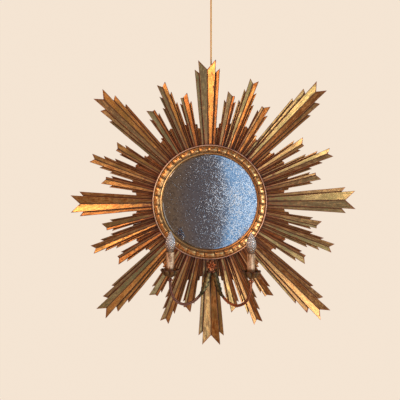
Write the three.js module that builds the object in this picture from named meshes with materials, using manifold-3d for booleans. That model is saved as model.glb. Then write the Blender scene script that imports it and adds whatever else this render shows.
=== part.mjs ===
// Sunburst girandole mirror.
//
// A round glass sits in a carved, gilded ring on a round collar board. Thirty-two
// carved rays stand on the board, with plain slats in the spaces between them, and a
// bracket with two electric candles hangs below the ring. The mirror rests flat on a
// wall and hangs from one cord.
//
// Millimetres, +Z up. The wall is the plane Y = 0 and the mirror faces -Y.
// The origin is the centre of the glass, on the wall plane.
// Pieces are drawn in a face frame (x right, y up, z out of the wall), and the
// group "face" turns that frame into the part's own.

import * as THREE from 'three';
import { mergeVertices } from 'three/addons/utils/BufferGeometryUtils.js';
import Module from 'manifold-3d';

const wasm = await Module();
wasm.setup();

// ---------------------------------------------------------------- sizes

const GAP = 0.3;            // clearance between pieces that touch
const WELD = 1e-4;          // vertices closer than this are one
const TURN = 2 * Math.PI;

// Glass and what holds it
const GLASS_RADIUS = 184;
const GLASS_THICKNESS = 4;
const GLASS_EDGE = 1.6;     // thickness left at the rim, behind the bevel
const GLASS_BEVEL = 12;
const GLASS_SIDES = 60;
const REBATE_PLAY = 1;      // room round the glass in the ring's rebate
const PANEL_THICKNESS = 6;
const PANEL_PLAY = 0.6;     // room round the back panel in its opening

// Collar: a round board that carries the ring and the rays, with slats in between
const BOARD_BEYOND = 50;    // how far the board reaches past the ring's rim
const BOARD_THICKNESS = 14;
const BOARD_SIDES = 48;
const RECESS_DEPTH = 9.1;   // recess behind, where the turn buttons lie
const RECESS_WIDTH = 43;    // from the panel's opening to the recess's outer wall
const SLAT_DEPTH = 3;       // how deep the slats run into the board
const SLAT_RISE = 5;        // how far they stand out of it
const SLAT_FALL = 3.5;      // how far a slat's face drops across its width
const SLAT_PLAY = 0.4;      // room between a slat and the ray beside it
const SLAT_LAP = 0.06;      // share of the space by which a slat runs into the one before

// Carved ring
const RING_LOBES = 35;
const SIGHT_LAP = 6;        // how far the ring laps over the edge of the glass
const SIGHT_HEIGHT = 3;
const SIGHT_SLOPE = 6.7;    // width of the slope from the sight edge to the lobes
const RIM_OVERHANG = 2.5;   // the rim overhangs the roots of the rays
const RIM_PLAY = 0.6;       // room between the rim's underside and the rays
const RIM_THICKNESS = 4.4;
const RIM_WIDTH = 4.2;
const RIM_ROUND = 1.5;      // how far the rim falls to its outer edge
const HOLLOW_DROP = 5.5;    // the groove inside the rim, below the rim's top
const HOLLOW_WIDTH = 2.6;
const LOBE_RISE = 4;        // the lobes stand this far above the rim
const LOBE_HEIGHT = 12;     // from a lobe's inner foot to its crown
const LOBE_WIDTH = 20.5;    // from the sight slope to the groove
const LOBE_CUT = 5;         // depth of the cuts between two lobes
const LOBE_NOTCH = 3.6;     // depth of the short notch in a lobe's outer half
const LOBE_CROWN = 0.35;    // share of a lobe's width where it stands highest

// Rays. Widths are measured from the ray's own axis, which is a valley between two
// blades, to the outer edge of a blade or step: near is at the ring, as an angle in
// degrees because the rays share out the ring between them, and far is at the tip.
// Lengths are measured from the ring: inner is where the end of the blade leaves its
// inner edge, and tip is its outer corner. Each list is the blade, then its steps.
const BLADE_THICKNESS = 16.7;
const STEP_THICKNESSES = [11.7, 8.2];
const STEP_FALL = 3.5;      // how far a step's face drops towards the blade
const VALLEY_SLOPE = 0.27;  // fall of a blade's face for each mm towards the axis
const RAY_ROOT_GAP = 0.5;
const RAY_LAP = 0.6;        // blades and steps run into each other by this much

const CARDINAL = [
  { near: 3.54, far: 32.9, inner: 284, tip: 318 },
  { near: 6.79, far: 47, inner: 271, tip: 285 },
];
const DIAGONAL = [
  { near: 2.62, far: 25, inner: 350, tip: 378 },
  { near: 3.98, far: 41, inner: 319, tip: 328 },
  { near: 7.06, far: 46.5, inner: 270, tip: 276 },
];
const MEDIUM = [
  { near: 1.99, far: 16.6, inner: 255, tip: 269.5 },
  { near: 3.27, far: 24.3, inner: 217, tip: 227 },
  { near: 5.71, far: 29.7, inner: 176, tip: 184 },
];
const SHORT_WIDE = [
  { near: 2.78, far: 20, inner: 191, tip: 205 },
  { near: 4.09, far: 27.2, inner: 163, tip: 173 },
];
const SHORT_NARROW = [
  { near: 1.31, far: 9.2, inner: 191, tip: 192 },
  { near: 2.05, far: 16.2, inner: 167, tip: 174 },
];

// One eighth of the sunburst, from an upright or level ray to a diagonal one. Each ray
// has its angle in degrees from the first, and the blades on its inward side, towards
// the first, and on its outward side.
const EIGHTH = [
  { family: 'cardinal', angle: 0, inward: CARDINAL, outward: CARDINAL },
  { family: 'short', angle: 13.3, inward: SHORT_WIDE, outward: SHORT_NARROW },
  { family: 'medium', angle: 21.3, inward: MEDIUM, outward: MEDIUM },
  { family: 'short', angle: 31, inward: SHORT_NARROW, outward: SHORT_WIDE },
  { family: 'diagonal', angle: 45, inward: DIAGONAL, outward: DIAGONAL },
];
// The collar's slats that fill each space between two rays of an eighth: the share of
// the space that a slat reaches across, and its length from the ring.
const SLATS = [
  [{ to: 0.62, length: 69 }, { to: 1, length: 86 }],
  [{ to: 1, length: 93 }],
  [{ to: 0.5, length: 102 }, { to: 1, length: 99 }],
  [{ to: 0.45, length: 90 }, { to: 1, length: 78 }],
];

// Turn buttons, each with its own pivot screw
const BUTTON_COUNT = 4;
const BUTTON_THICKNESS = 3;
const BUTTON_WIDTH = 13;
const BUTTON_SEAT = 18;     // from the panel's opening to the pivot
const BUTTON_LAP = 3;       // how far the button laps over the opening's edge
const BUTTON_TAIL = 9;
const PIVOT_RADIUS = 1.7;
const PIVOT_DEPTH = 3.4;
const PIVOT_HEAD_RADIUS = 3.6;
const PIVOT_HEAD_HEIGHT = 1.6;
const PIVOT_HEAD_LAP = 1;   // how deep the screw's head runs into its button
const PIVOT_HOLE_LEAD = 1;  // the pivot hole's tool starts this far behind the recess floor
const PIVOT_SIDES = 8;

// Cord, screw eye and wall hook
const CORD_RADIUS = 3.25;
const CORD_SIDES = 8;
const CORD_OUT = 7.5;       // the cord's axis, out from the wall
const CORD_FOOT = new THREE.Vector3(10.4, 300.3, CORD_OUT);
const CORD_HEAD = new THREE.Vector3(17.3, 764.0, CORD_OUT);
const CORD_STEPS = 30;
const LOOP_RADIUS = 7;      // middle of the loop at each end of the cord
const LOOP_TUBE = 2.6;
const LOOP_SIDES = 6;
const LOOP_STEPS = 16;
const KNOT_RADIUS = 5.4;
const KNOT_LENGTH = 16;
const KNOT_PROFILE = [[0, 0], [0.8, 0], [1, 0.25], [0.85, 0.5], [1, 0.75], [0.8, 1], [0, 1]];
const EYE_RADIUS = 4.7;
const EYE_WIRE = 1.5;
const EYE_SHANK_DEPTH = 12; // how deep the shank goes into the board's edge
const EYE_NECK = 3;
const EYE_SIDES = 6;
const HOOK_WIRE = 2;
const HOOK_REACH = 15;
const HOOK_LIP = 10;
const HOOK_SIDES = 8;
const HOOK_PLATE = { width: 16, height: 36, thickness: 2, corner: 5, aboveArm: 9 };

// Candle bracket, drawn about the centre of its rosette
const BRACKET_X = 7.5;
const BRACKET_DROP = 22.7;  // from the ring's rim down to the rosette's centre
const BRACKET_LEAN = 1.2;   // degrees, clockwise as seen from the front
const ROSETTE_RADIUS = 18;
const ROSETTE_THICKNESS = 20;
const ROSETTE_PETALS = 8;
const ROSETTE_SCALLOP = 0.13; // how far its edge is cut in between two petals
const ROSETTE_HOLE = 0.2;   // share of the radius that the core fills
const ROSETTE_CORE = 0.3;
const ROSETTE_STEM = 0.6;   // share of the radius that stands on the bracket's back
const ROSETTE_EYE_RISE = 1.5; // the core stands this far above the petals
// The petals' section: a share of the radius and the drop below the rosette's top.
const ROSETTE_SECTION = [[0.2, 1], [0.34, 0], [0.5, 3], [0.8, 2], [1, 6], [1, 8],
  [ROSETTE_STEM, 10]];
const TONGUE = { width: 9, rise: 22.2, thickness: 2.5 };
const TONGUE_SCREW = { radius: 2.2, rise: 19.6, edge: 0.8, dome: 1.6, lap: 1.5 };
const BOSS_RADIUS = 10;
const BOSS_DROP = 9;
const BOSS_THICKNESS = 15.7;
const BOSS_BEVEL = 2;
const ARM_HALF_WIDTH = 5.2;
const ARM_HALF_DEPTH = 4;
const ARM_GROOVE = 0.3;     // share of the depth lost between an arm's two ribs
const ARM_SIDES = 12;
const ARM_STEPS = 30;
const ARM_START_OUT = 8.7;  // from the bracket's back to the arm's axis
const ARM_START_ANGLE = 60; // degrees below the level, where an arm leaves the boss
const ARM_LEAD = 12;        // an arm runs straight out of the boss for this far
const CANDLE_SIDE = 139.5;  // candle's axis from the bracket's middle
const CANDLE_REACH = 106.7; // candle's axis out from the bracket's back
const ARM_DROP = 127.5;     // lowest point of an arm below the rosette's centre
const ARM_TOP = -28;
const ARM_END = 14;         // straight upright end of an arm
// The arm's curve, as shares of CANDLE_SIDE, ARM_DROP and CANDLE_REACH.
const ARM_CURVE = [[0.158, 0.518, 0.194], [0.272, 0.769, 0.381], [0.444, 0.941, 0.541],
  [0.659, 1, 0.709], [0.86, 0.878, 0.869], [0.975, 0.612, 0.972]];
const LEAF_START = 0.03;    // share of the arm's length where its leaf begins
const LEAF_END = 0.34;
const LEAF_HALF_WIDTH = 12;
const LEAF_HALF_DEPTH = 7;
const LEAF_TEETH = 4;
const LEAF_TOOTH_CUT = 0.22; // share of the width lost at the foot of a tooth
const LEAF_PLAY = 0.3;      // extra room between the leaf and its arm
const LEAF_WALL = 0.6;      // least thickness of the leaf round its arm
const LEAF_SWELL = { start: 0.2, span: 0.68, power: 0.8 };
const LEAF_STEPS = 12;
const LEAF_SIDES = 10;

// Candles: drip cup, lampholder, sleeve, bulb cap and bulb
const CUP_PETALS = 8;
const CUP_RADIUS = 36;
const CUP_HUB_RADIUS = 9;
const CUP_FLOOR_RADIUS = 17;
const CUP_FLOOR = -20.3;
const CUP_RIM = 2;
const CUP_WALL = 2.2;
const CUP_SCALLOP = 0.2;    // how far the rim is cut in between two petals
const CUP_CURVE = 1.5;      // power of the dish's rise towards its rim
const CUP_RIM_FLARE = 0.9;  // how far the rim's lower edge stands out past the upper
const CUP_HUB_HOLE = 5.4;   // the skin stops here, and a plug fills the middle
const CUP_PLUG_RADIUS = 7.2;
const CUP_HUB_STEP = 2.5;
const SLEEVE_RADIUS = 13.8;
const SLEEVE_WALL = 1.5;
const SLEEVE_TOP = 61.5;
const HOLDER_PLAY = 0.9;    // room between lampholder and sleeve
const HOLDER_TOP = 55;
const BULB_CAP_RADIUS = 7;
const BULB_CAP_LENGTH = 24;
const BULB_CAP_TOP = 57;
const BULB_CAP_BEVEL = [1.5, 2];
const CONTACT_RADIUS = 3;
const CONTACT_LENGTH = 2;
const BULB_RADIUS = 17.5;
const BULB_HEIGHT = 76;
const BULB_GLASS = 0.9;
const BULB_SIDES = 16;
const CANDLE_SIDES = 20;
// Outline of the flame-shaped bulb from its neck up: a belly and a drawn-out tip.
// Each pair is a share of the height and a share of the greatest radius.
const BULB_OUTLINE = [[0, 0.6], [0.1, 0.72], [0.24, 0.94], [0.38, 1], [0.52, 0.94],
  [0.68, 0.73], [0.84, 0.42], [0.95, 0.19]];

// Places that follow from the sizes above
const rebateRadius = GLASS_RADIUS + REBATE_PLAY;
const panelBack = RECESS_DEPTH + GAP;
const panelFront = panelBack + PANEL_THICKNESS;
const glassBack = panelFront + GAP;
const glassFront = glassBack + GLASS_THICKNESS;
const ringBack = BOARD_THICKNESS + GAP;
const ringShoulder = glassFront + GAP;
const rayBack = BOARD_THICKNESS + GAP;
const bladeTop = rayBack + BLADE_THICKNESS;
const sightRadius = GLASS_RADIUS - SIGHT_LAP;
const lobeStart = sightRadius + SIGHT_SLOPE;
const rimInner = lobeStart + LOBE_WIDTH + HOLLOW_WIDTH;
const rimRadius = rimInner + RIM_WIDTH;
const footRadius = rimRadius - RIM_OVERHANG;
const rimBack = bladeTop + RIM_PLAY;
const rimTop = rimBack + RIM_THICKNESS;
const lobeTop = rimTop + LOBE_RISE;
const rayRoot = footRadius + RAY_ROOT_GAP;
const boardRadius = rimRadius + BOARD_BEYOND;
const slatTop = BOARD_THICKNESS + SLAT_RISE;
const pivotRadius = rebateRadius + BUTTON_SEAT;
const bracketBack = bladeTop + GAP;
const bossTop = bracketBack + BOSS_THICKNESS;
const rosetteTop = bracketBack + ROSETTE_THICKNESS;
const candleOut = bracketBack + CANDLE_REACH;

// ---------------------------------------------------------------- finishes

const FINISHES = {
  gilt: { color: 0xa8783a, roughness: 0.45, metalness: 0.55 },
  collar: { color: 0x6b4326, roughness: 0.6, metalness: 0.3 },
  mirror: { color: 0xaab4c0, roughness: 0.12, metalness: 0.95 },
  panel: { color: 0x8f6b45, roughness: 0.85, metalness: 0 },
  brass: { color: 0xa98a4a, roughness: 0.4, metalness: 0.9 },
  copper: { color: 0x5e3323, roughness: 0.42, metalness: 0.8 },
  leaf: { color: 0x5f6240, roughness: 0.5, metalness: 0.6 },
  candle: { color: 0xd9b79c, roughness: 0.7, metalness: 0 },
  holder: { color: 0x2b2622, roughness: 0.5, metalness: 0 },
  glass: { color: 0xdfe4ea, roughness: 0.05, metalness: 0 },
  cord: { color: 0xb98442, roughness: 0.9, metalness: 0 },
  steel: { color: 0x8c8a86, roughness: 0.45, metalness: 0.9 },
};

function piece(name, geometry, finish) {
  geometry.deleteAttribute('uv');
  geometry.computeVertexNormals();
  const mesh = new THREE.Mesh(geometry, new THREE.MeshStandardMaterial(FINISHES[finish]));
  mesh.name = name;
  return mesh;
}

// ---------------------------------------------------------------- solids

function toSolid(geometry) {
  const bare = geometry.clone();
  bare.deleteAttribute('normal');
  bare.deleteAttribute('uv');
  const welded = mergeVertices(bare, WELD);
  const mesh = new wasm.Mesh({
    numProp: 3,
    vertProperties: new Float32Array(welded.attributes.position.array),
    triVerts: new Uint32Array(welded.index.array),
  });
  return new wasm.Manifold(mesh);
}

function toGeometry(solid) {
  const mesh = solid.getMesh();
  const geometry = new THREE.BufferGeometry();
  geometry.setAttribute('position', new THREE.BufferAttribute(mesh.vertProperties, 3));
  geometry.setIndex(new THREE.BufferAttribute(mesh.triVerts, 1));
  return geometry;
}

function join(geometries) {
  return toGeometry(geometries.map(toSolid).reduce((all, one) => all.add(one)));
}

function cut(geometry, tools) {
  return toGeometry(tools.map(toSolid).reduce((all, one) => all.subtract(one), toSolid(geometry)));
}

// Six times the volume inside a closed surface, negative if its faces point inwards.
function signedVolume(points, index) {
  const normal = new THREE.Vector3();
  let sum = 0;
  for (let i = 0; i < index.length; i += 3) {
    const [a, b, c] = [points[index[i]], points[index[i + 1]], points[index[i + 2]]];
    sum += a.dot(normal.crossVectors(b, c));
  }
  return sum;
}

// A closed surface through rings of points: every ring has the same number of points,
// and closed says whether the last ring joins the first or each end gets a flat cap.
// The rings may run either way round.
function skin(rings, closed) {
  const sides = rings[0].length;
  const points = rings.flat();
  const index = [];
  const spans = closed ? rings.length : rings.length - 1;
  for (let i = 0; i < spans; i += 1) {
    const here = i * sides;
    const next = ((i + 1) % rings.length) * sides;
    for (let j = 0; j < sides; j += 1) {
      const k = (j + 1) % sides;
      index.push(here + j, here + k, next + k, here + j, next + k, next + j);
    }
  }
  if (!closed) {
    const last = (rings.length - 1) * sides;
    for (let j = 1; j < sides - 1; j += 1) {
      index.push(0, j + 1, j, last, last + j, last + j + 1);
    }
  }
  if (signedVolume(points, index) < 0) index.reverse();
  const geometry = new THREE.BufferGeometry().setFromPoints(points);
  geometry.setIndex(index);
  return geometry;
}

// A profile of [radius, height] pairs turned about the y axis.
function turned(profile, sides) {
  const points = profile.map(([radius, height]) => new THREE.Vector2(radius, height));
  const geometry = new THREE.LatheGeometry(points, sides);
  geometry.deleteAttribute('normal');
  geometry.deleteAttribute('uv');
  return mergeVertices(geometry, WELD);
}

// The same profile turned about the z axis, which points out of the wall.
function turnedOut(profile, sides) {
  return turned(profile.map(([radius, height]) => [radius, -height]).reverse(), sides)
    .rotateX(-Math.PI / 2);
}

function tube(path, radius, sides, steps) {
  const section = new THREE.Shape();
  section.absarc(0, 0, radius, 0, TURN);
  const outline = section.getPoints(sides).slice(0, sides);
  return new THREE.ExtrudeGeometry(new THREE.Shape(outline), {
    steps,
    bevelEnabled: false,
    extrudePath: path,
    curveSegments: 1,
  });
}

function rod(radius, from, to, sides) {
  const length = from.distanceTo(to);
  const geometry = new THREE.CylinderGeometry(radius, radius, length, sides);
  const up = new THREE.Vector3(0, 1, 0);
  const along = to.clone().sub(from).normalize();
  geometry.applyQuaternion(new THREE.Quaternion().setFromUnitVectors(up, along));
  const middle = from.clone().add(to).multiplyScalar(0.5);
  return geometry.translate(middle.x, middle.y, middle.z);
}

// ---------------------------------------------------------------- rays

// One blade, step or slat: a block whose plan is four corners and whose face slopes.
function block(corners, back) {
  const rear = corners.map(([x, y]) => new THREE.Vector3(x, y, back));
  const front = corners.map(([x, y, z]) => new THREE.Vector3(x, y, z));
  return skin([rear, front], false);
}

// Half-width of a ray's blade or step at a length along the ray.
function edgeAt(blade, length) {
  const near = rayRoot * Math.tan(THREE.MathUtils.degToRad(blade.near));
  return near + (blade.far - near) * (length / blade.tip);
}

// The blades and steps on one side of a ray's axis; side is 1 or -1.
function raySide(blades, side) {
  return blades.map((blade, level) => {
    const inside = (length) => (level === 0 ? 0 : edgeAt(blades[level - 1], length)) - RAY_LAP;
    const top = level === 0 ? bladeTop : rayBack + STEP_THICKNESSES[level - 1];
    const fall = (width) => (level === 0 ? VALLEY_SLOPE * width : STEP_FALL);
    const corners = [
      [side * inside(0), rayRoot, top - fall(edgeAt(blade, 0))],
      [side * edgeAt(blade, 0), rayRoot, top],
      [side * blade.far, rayRoot + blade.tip, top],
      [side * inside(blade.inner), rayRoot + blade.inner, top - fall(edgeAt(blade, blade.inner))],
    ];
    return block(corners, rayBack);
  });
}

function ray(name, leftBlades, rightBlades, degrees) {
  const geometry = join([...raySide(leftBlades, -1), ...raySide(rightBlades, 1)]);
  const mesh = piece(name, geometry, 'gilt');
  mesh.rotation.z = THREE.MathUtils.degToRad(-degrees);
  return mesh;
}

// The eight eighths: where each starts and which way it runs. Angles are clockwise from
// straight up, as on a clock's face.
function eighths() {
  return [0, 90, 180, 270].flatMap((start) => [
    { start, hand: 1 },
    { start: start + 90, hand: -1 },
  ]);
}

function allRays() {
  const counts = {};
  return eighths().flatMap(({ start, hand }) => {
    const own = EIGHTH.filter(({ angle }) => hand > 0 || (angle > 0 && angle < 45));
    return own.map(({ family, angle, inward, outward }) => {
      counts[family] = (counts[family] ?? 0) + 1;
      const [left, right] = hand > 0 ? [inward, outward] : [outward, inward];
      return ray(`ray_${family}_${counts[family]}`, left, right, start + hand * angle);
    });
  });
}

// ---------------------------------------------------------------- collar

function polar(radius, degrees) {
  const angle = THREE.MathUtils.degToRad(degrees);
  return [radius * Math.sin(angle), radius * Math.cos(angle)];
}

// A point beside a ray of an eighth: at a length along the ray, just clear of its
// outer edge on the inward (-1) or outward (1) side.
function besideRay({ angle, inward, outward }, side, length) {
  const widest = (side > 0 ? outward : inward).at(-1);
  const width = side * (edgeAt(widest, length) + SLAT_PLAY);
  return new THREE.Vector2(width, rayRoot + length)
    .rotateAround(new THREE.Vector2(), THREE.MathUtils.degToRad(-angle));
}

// The slats of one space of an eighth, as blocks that fit between its two rays.
function spaceSlats(space) {
  const [before, after] = [EIGHTH[space], EIGHTH[space + 1]];
  let from = 0;
  return SLATS[space].map(({ to, length }) => {
    const across = (share, along) => (
      besideRay(before, 1, along).lerp(besideRay(after, -1, along), share)
    );
    const corners = [
      [across(from, 0), slatTop - SLAT_FALL],
      [across(to, 0), slatTop],
      [across(to, length), slatTop],
      [across(from, length), slatTop - SLAT_FALL],
    ];
    from = to - SLAT_LAP;
    return corners.map(([point, height]) => [point.x, point.y, height]);
  });
}

function collarSlats() {
  const spaces = SLATS.flatMap((_, space) => spaceSlats(space));
  return eighths().flatMap(({ start, hand }) => spaces.map((corners) => (
    block(corners.map(([x, y, z]) => [hand * x, y, z]), BOARD_THICKNESS - SLAT_DEPTH)
      .rotateZ(THREE.MathUtils.degToRad(-start))
  )));
}

function buttonPlaces() {
  return Array.from({ length: BUTTON_COUNT }, (_, i) => 45 + i * (360 / BUTTON_COUNT));
}

function collar() {
  const board = turnedOut([
    [rebateRadius, RECESS_DEPTH],
    [rebateRadius + RECESS_WIDTH, RECESS_DEPTH],
    [rebateRadius + RECESS_WIDTH, 0],
    [boardRadius, 0],
    [boardRadius, BOARD_THICKNESS],
    [rebateRadius, BOARD_THICKNESS],
    [rebateRadius, RECESS_DEPTH],
  ], BOARD_SIDES);
  const pivotHoles = buttonPlaces().map((degrees) => {
    const [x, y] = polar(pivotRadius, degrees);
    const mouth = new THREE.Vector3(x, y, RECESS_DEPTH - PIVOT_HOLE_LEAD);
    const end = new THREE.Vector3(x, y, RECESS_DEPTH + PIVOT_DEPTH);
    return rod(PIVOT_RADIUS + GAP, mouth, end, PIVOT_SIDES);
  });
  const eye = eyeCentre();
  const foot = eye.clone().setY(boardRadius - EYE_SHANK_DEPTH - GAP);
  const shankHole = rod(EYE_WIRE + GAP, foot, eye, EYE_SIDES);
  return cut(join([board, ...collarSlats()]), [...pivotHoles, shankHole]);
}

// ---------------------------------------------------------------- ring

// A lobe's section at a share from the sight slope (0) to the groove (1): two quarter
// waves that meet at its crown, falling half as far on the outside.
function lobeHeight(share) {
  const inner = share < LOBE_CROWN;
  const reach = inner ? share / LOBE_CROWN : (1 - share) / (1 - LOBE_CROWN);
  const fall = LOBE_HEIGHT * (inner ? 1 : 0.5);
  return lobeTop - fall * (1 - Math.sin(Math.PI / 2 * reach));
}

// One section of the ring as [radius, height] pairs. cutDepth lowers the whole lobe
// and notchDepth its outer half.
function ringSection(cutDepth, notchDepth) {
  const lobe = [0.1, 0.35, 0.6, 0.95].map((share) => {
    const outerHalf = share > 0.5 ? notchDepth : 0;
    return [lobeStart + share * LOBE_WIDTH, lobeHeight(share) - cutDepth - outerHalf];
  });
  return [
    [rebateRadius, ringBack],
    [rebateRadius, ringShoulder],
    [sightRadius, ringShoulder],
    [sightRadius, ringShoulder + SIGHT_HEIGHT],
    [lobeStart, lobeTop - LOBE_HEIGHT],
    ...lobe,
    [rimInner - HOLLOW_WIDTH / 2, rimTop - HOLLOW_DROP - cutDepth / 3],
    [rimInner, rimTop],
    [rimRadius, rimTop - RIM_ROUND],
    [rimRadius, rimBack],
    [footRadius, rimBack],
    [footRadius, ringBack],
  ];
}

function carvedRing() {
  const between = ringSection(LOBE_CUT, 0);
  const crest = ringSection(0, 0);
  const notch = ringSection(0, LOBE_NOTCH);
  const sequence = [between, crest, notch, crest];
  const count = RING_LOBES * sequence.length;
  const rings = Array.from({ length: count }, (_, i) => {
    const angle = (i / count) * TURN;
    return sequence[i % sequence.length].map(([radius, height]) => (
      new THREE.Vector3(radius * Math.sin(angle), radius * Math.cos(angle), height)
    ));
  });
  return skin(rings, true);
}

// ---------------------------------------------------------------- glass and back

function glassDisc() {
  return turnedOut([
    [0, glassBack],
    [GLASS_RADIUS, glassBack],
    [GLASS_RADIUS, glassBack + GLASS_EDGE],
    [GLASS_RADIUS - GLASS_BEVEL, glassFront],
    [0, glassFront],
  ], GLASS_SIDES);
}

function backPanel() {
  const radius = rebateRadius - PANEL_PLAY;
  const profile = [[0, panelBack], [radius, panelBack], [radius, panelFront], [0, panelFront]];
  return turnedOut(profile, GLASS_SIDES);
}

// A brass button with one long end, on a pivot screw; drawn with the long end towards -y.
function turnButton() {
  const front = RECESS_DEPTH - GAP;
  const back = front - BUTTON_THICKNESS;
  const half = BUTTON_WIDTH / 2;
  const outline = new THREE.Shape();
  outline.absarc(0, BUTTON_TAIL - half, half, 0, Math.PI);
  outline.absarc(0, half - BUTTON_SEAT - BUTTON_LAP, half, Math.PI, TURN);
  const plate = new THREE.ExtrudeGeometry(outline, {
    depth: BUTTON_THICKNESS,
    bevelEnabled: false,
    curveSegments: 6,
  }).translate(0, 0, back);
  const screw = turnedOut([
    [0, back - PIVOT_HEAD_HEIGHT],
    [PIVOT_HEAD_RADIUS / 2, back - PIVOT_HEAD_HEIGHT],
    [PIVOT_HEAD_RADIUS, back - PIVOT_HEAD_HEIGHT / 2],
    [PIVOT_HEAD_RADIUS, back + PIVOT_HEAD_LAP],
    [PIVOT_RADIUS, back + PIVOT_HEAD_LAP],
    [PIVOT_RADIUS, RECESS_DEPTH + PIVOT_DEPTH - GAP],
    [0, RECESS_DEPTH + PIVOT_DEPTH - GAP],
  ], PIVOT_SIDES);
  return join([plate, screw]);
}

function turnButtons() {
  return buttonPlaces().map((degrees, i) => {
    const mesh = piece(`turn_button_${i + 1}`, turnButton(), 'brass');
    const [x, y] = polar(pivotRadius, degrees);
    mesh.position.set(x, y, 0);
    mesh.rotation.z = THREE.MathUtils.degToRad(-degrees);
    return mesh;
  });
}

// ---------------------------------------------------------------- hanging

function eyeCentre() {
  const rise = boardRadius + EYE_NECK + EYE_RADIUS + EYE_WIRE;
  const reach = (rise - CORD_FOOT.y) / (CORD_HEAD.y - CORD_FOOT.y);
  const x = CORD_FOOT.x + (CORD_HEAD.x - CORD_FOOT.x) * reach;
  return new THREE.Vector3(x, rise, CORD_OUT);
}

function screwEye() {
  const centre = eyeCentre();
  const eye = new THREE.TorusGeometry(EYE_RADIUS, EYE_WIRE, EYE_SIDES, LOOP_STEPS)
    .rotateY(Math.PI / 2)
    .translate(centre.x, centre.y, centre.z);
  const foot = new THREE.Vector3(centre.x, boardRadius - EYE_SHANK_DEPTH, centre.z);
  const neck = centre.clone().setY(centre.y - EYE_RADIUS);
  return join([eye, rod(EYE_WIRE, foot, neck, EYE_SIDES)]);
}

// A loop at one end of the cord, with the knot that closes it. The knot runs from the
// loop to its end, where the cord begins.
function cordLoop(centre, knotEnd) {
  const loop = new THREE.TorusGeometry(LOOP_RADIUS, LOOP_TUBE, LOOP_SIDES, LOOP_STEPS)
    .translate(centre.x, centre.y, centre.z);
  const way = Math.sign(knotEnd.y - centre.y);
  const start = centre.y + way * (LOOP_RADIUS - LOOP_TUBE / 2);
  const length = Math.abs(knotEnd.y - start);
  const profile = KNOT_PROFILE.map(([width, share]) => [width * KNOT_RADIUS, share * length]);
  const knot = turned(profile, CORD_SIDES)
    .translate(knotEnd.x, Math.min(start, knotEnd.y), knotEnd.z);
  return join([loop, knot]);
}

function lowerLoop() {
  const rise = EYE_RADIUS - EYE_WIRE - GAP - LOOP_TUBE + LOOP_RADIUS;
  const centre = eyeCentre();
  return cordLoop(centre.setY(centre.y + rise), CORD_FOOT.clone().setY(CORD_FOOT.y - GAP));
}

function upperLoopCentre() {
  return CORD_HEAD.clone().setY(CORD_HEAD.y + GAP + KNOT_LENGTH + LOOP_RADIUS - LOOP_TUBE / 2);
}

function upperLoop() {
  return cordLoop(upperLoopCentre(), CORD_HEAD.clone().setY(CORD_HEAD.y + GAP));
}

function cordPath() {
  const middle = CORD_FOOT.clone().add(CORD_HEAD).multiplyScalar(0.5);
  return new THREE.CatmullRomCurve3([CORD_FOOT, middle, CORD_HEAD]);
}

function wallHook() {
  const loop = upperLoopCentre();
  const armHeight = loop.y + LOOP_RADIUS - LOOP_TUBE - HOOK_WIRE - GAP;
  const { width, height, thickness, corner, aboveArm } = HOOK_PLATE;
  const outline = new THREE.Shape();
  outline.absarc(width / 2 - corner, height / 2 - corner, corner, 0, Math.PI / 2);
  outline.absarc(corner - width / 2, height / 2 - corner, corner, Math.PI / 2, Math.PI);
  outline.absarc(corner - width / 2, corner - height / 2, corner, Math.PI, 1.5 * Math.PI);
  outline.absarc(width / 2 - corner, corner - height / 2, corner, 1.5 * Math.PI, TURN);
  const plate = new THREE.ExtrudeGeometry(outline, {
    depth: thickness,
    bevelEnabled: false,
    curveSegments: 4,
  }).translate(loop.x, armHeight + aboveArm, 0);
  const root = new THREE.Vector3(loop.x, armHeight, thickness / 2);
  const bend = new THREE.Vector3(loop.x, armHeight, HOOK_REACH);
  const lip = new THREE.Vector3(loop.x, armHeight + HOOK_LIP, HOOK_REACH);
  const elbow = new THREE.SphereGeometry(HOOK_WIRE, HOOK_SIDES, HOOK_SIDES / 2)
    .translate(bend.x, bend.y, bend.z);
  const wires = [rod(HOOK_WIRE, root, bend, HOOK_SIDES), rod(HOOK_WIRE, bend, lip, HOOK_SIDES)];
  return join([plate, elbow, ...wires]);
}

// ---------------------------------------------------------------- candle bracket

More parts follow.
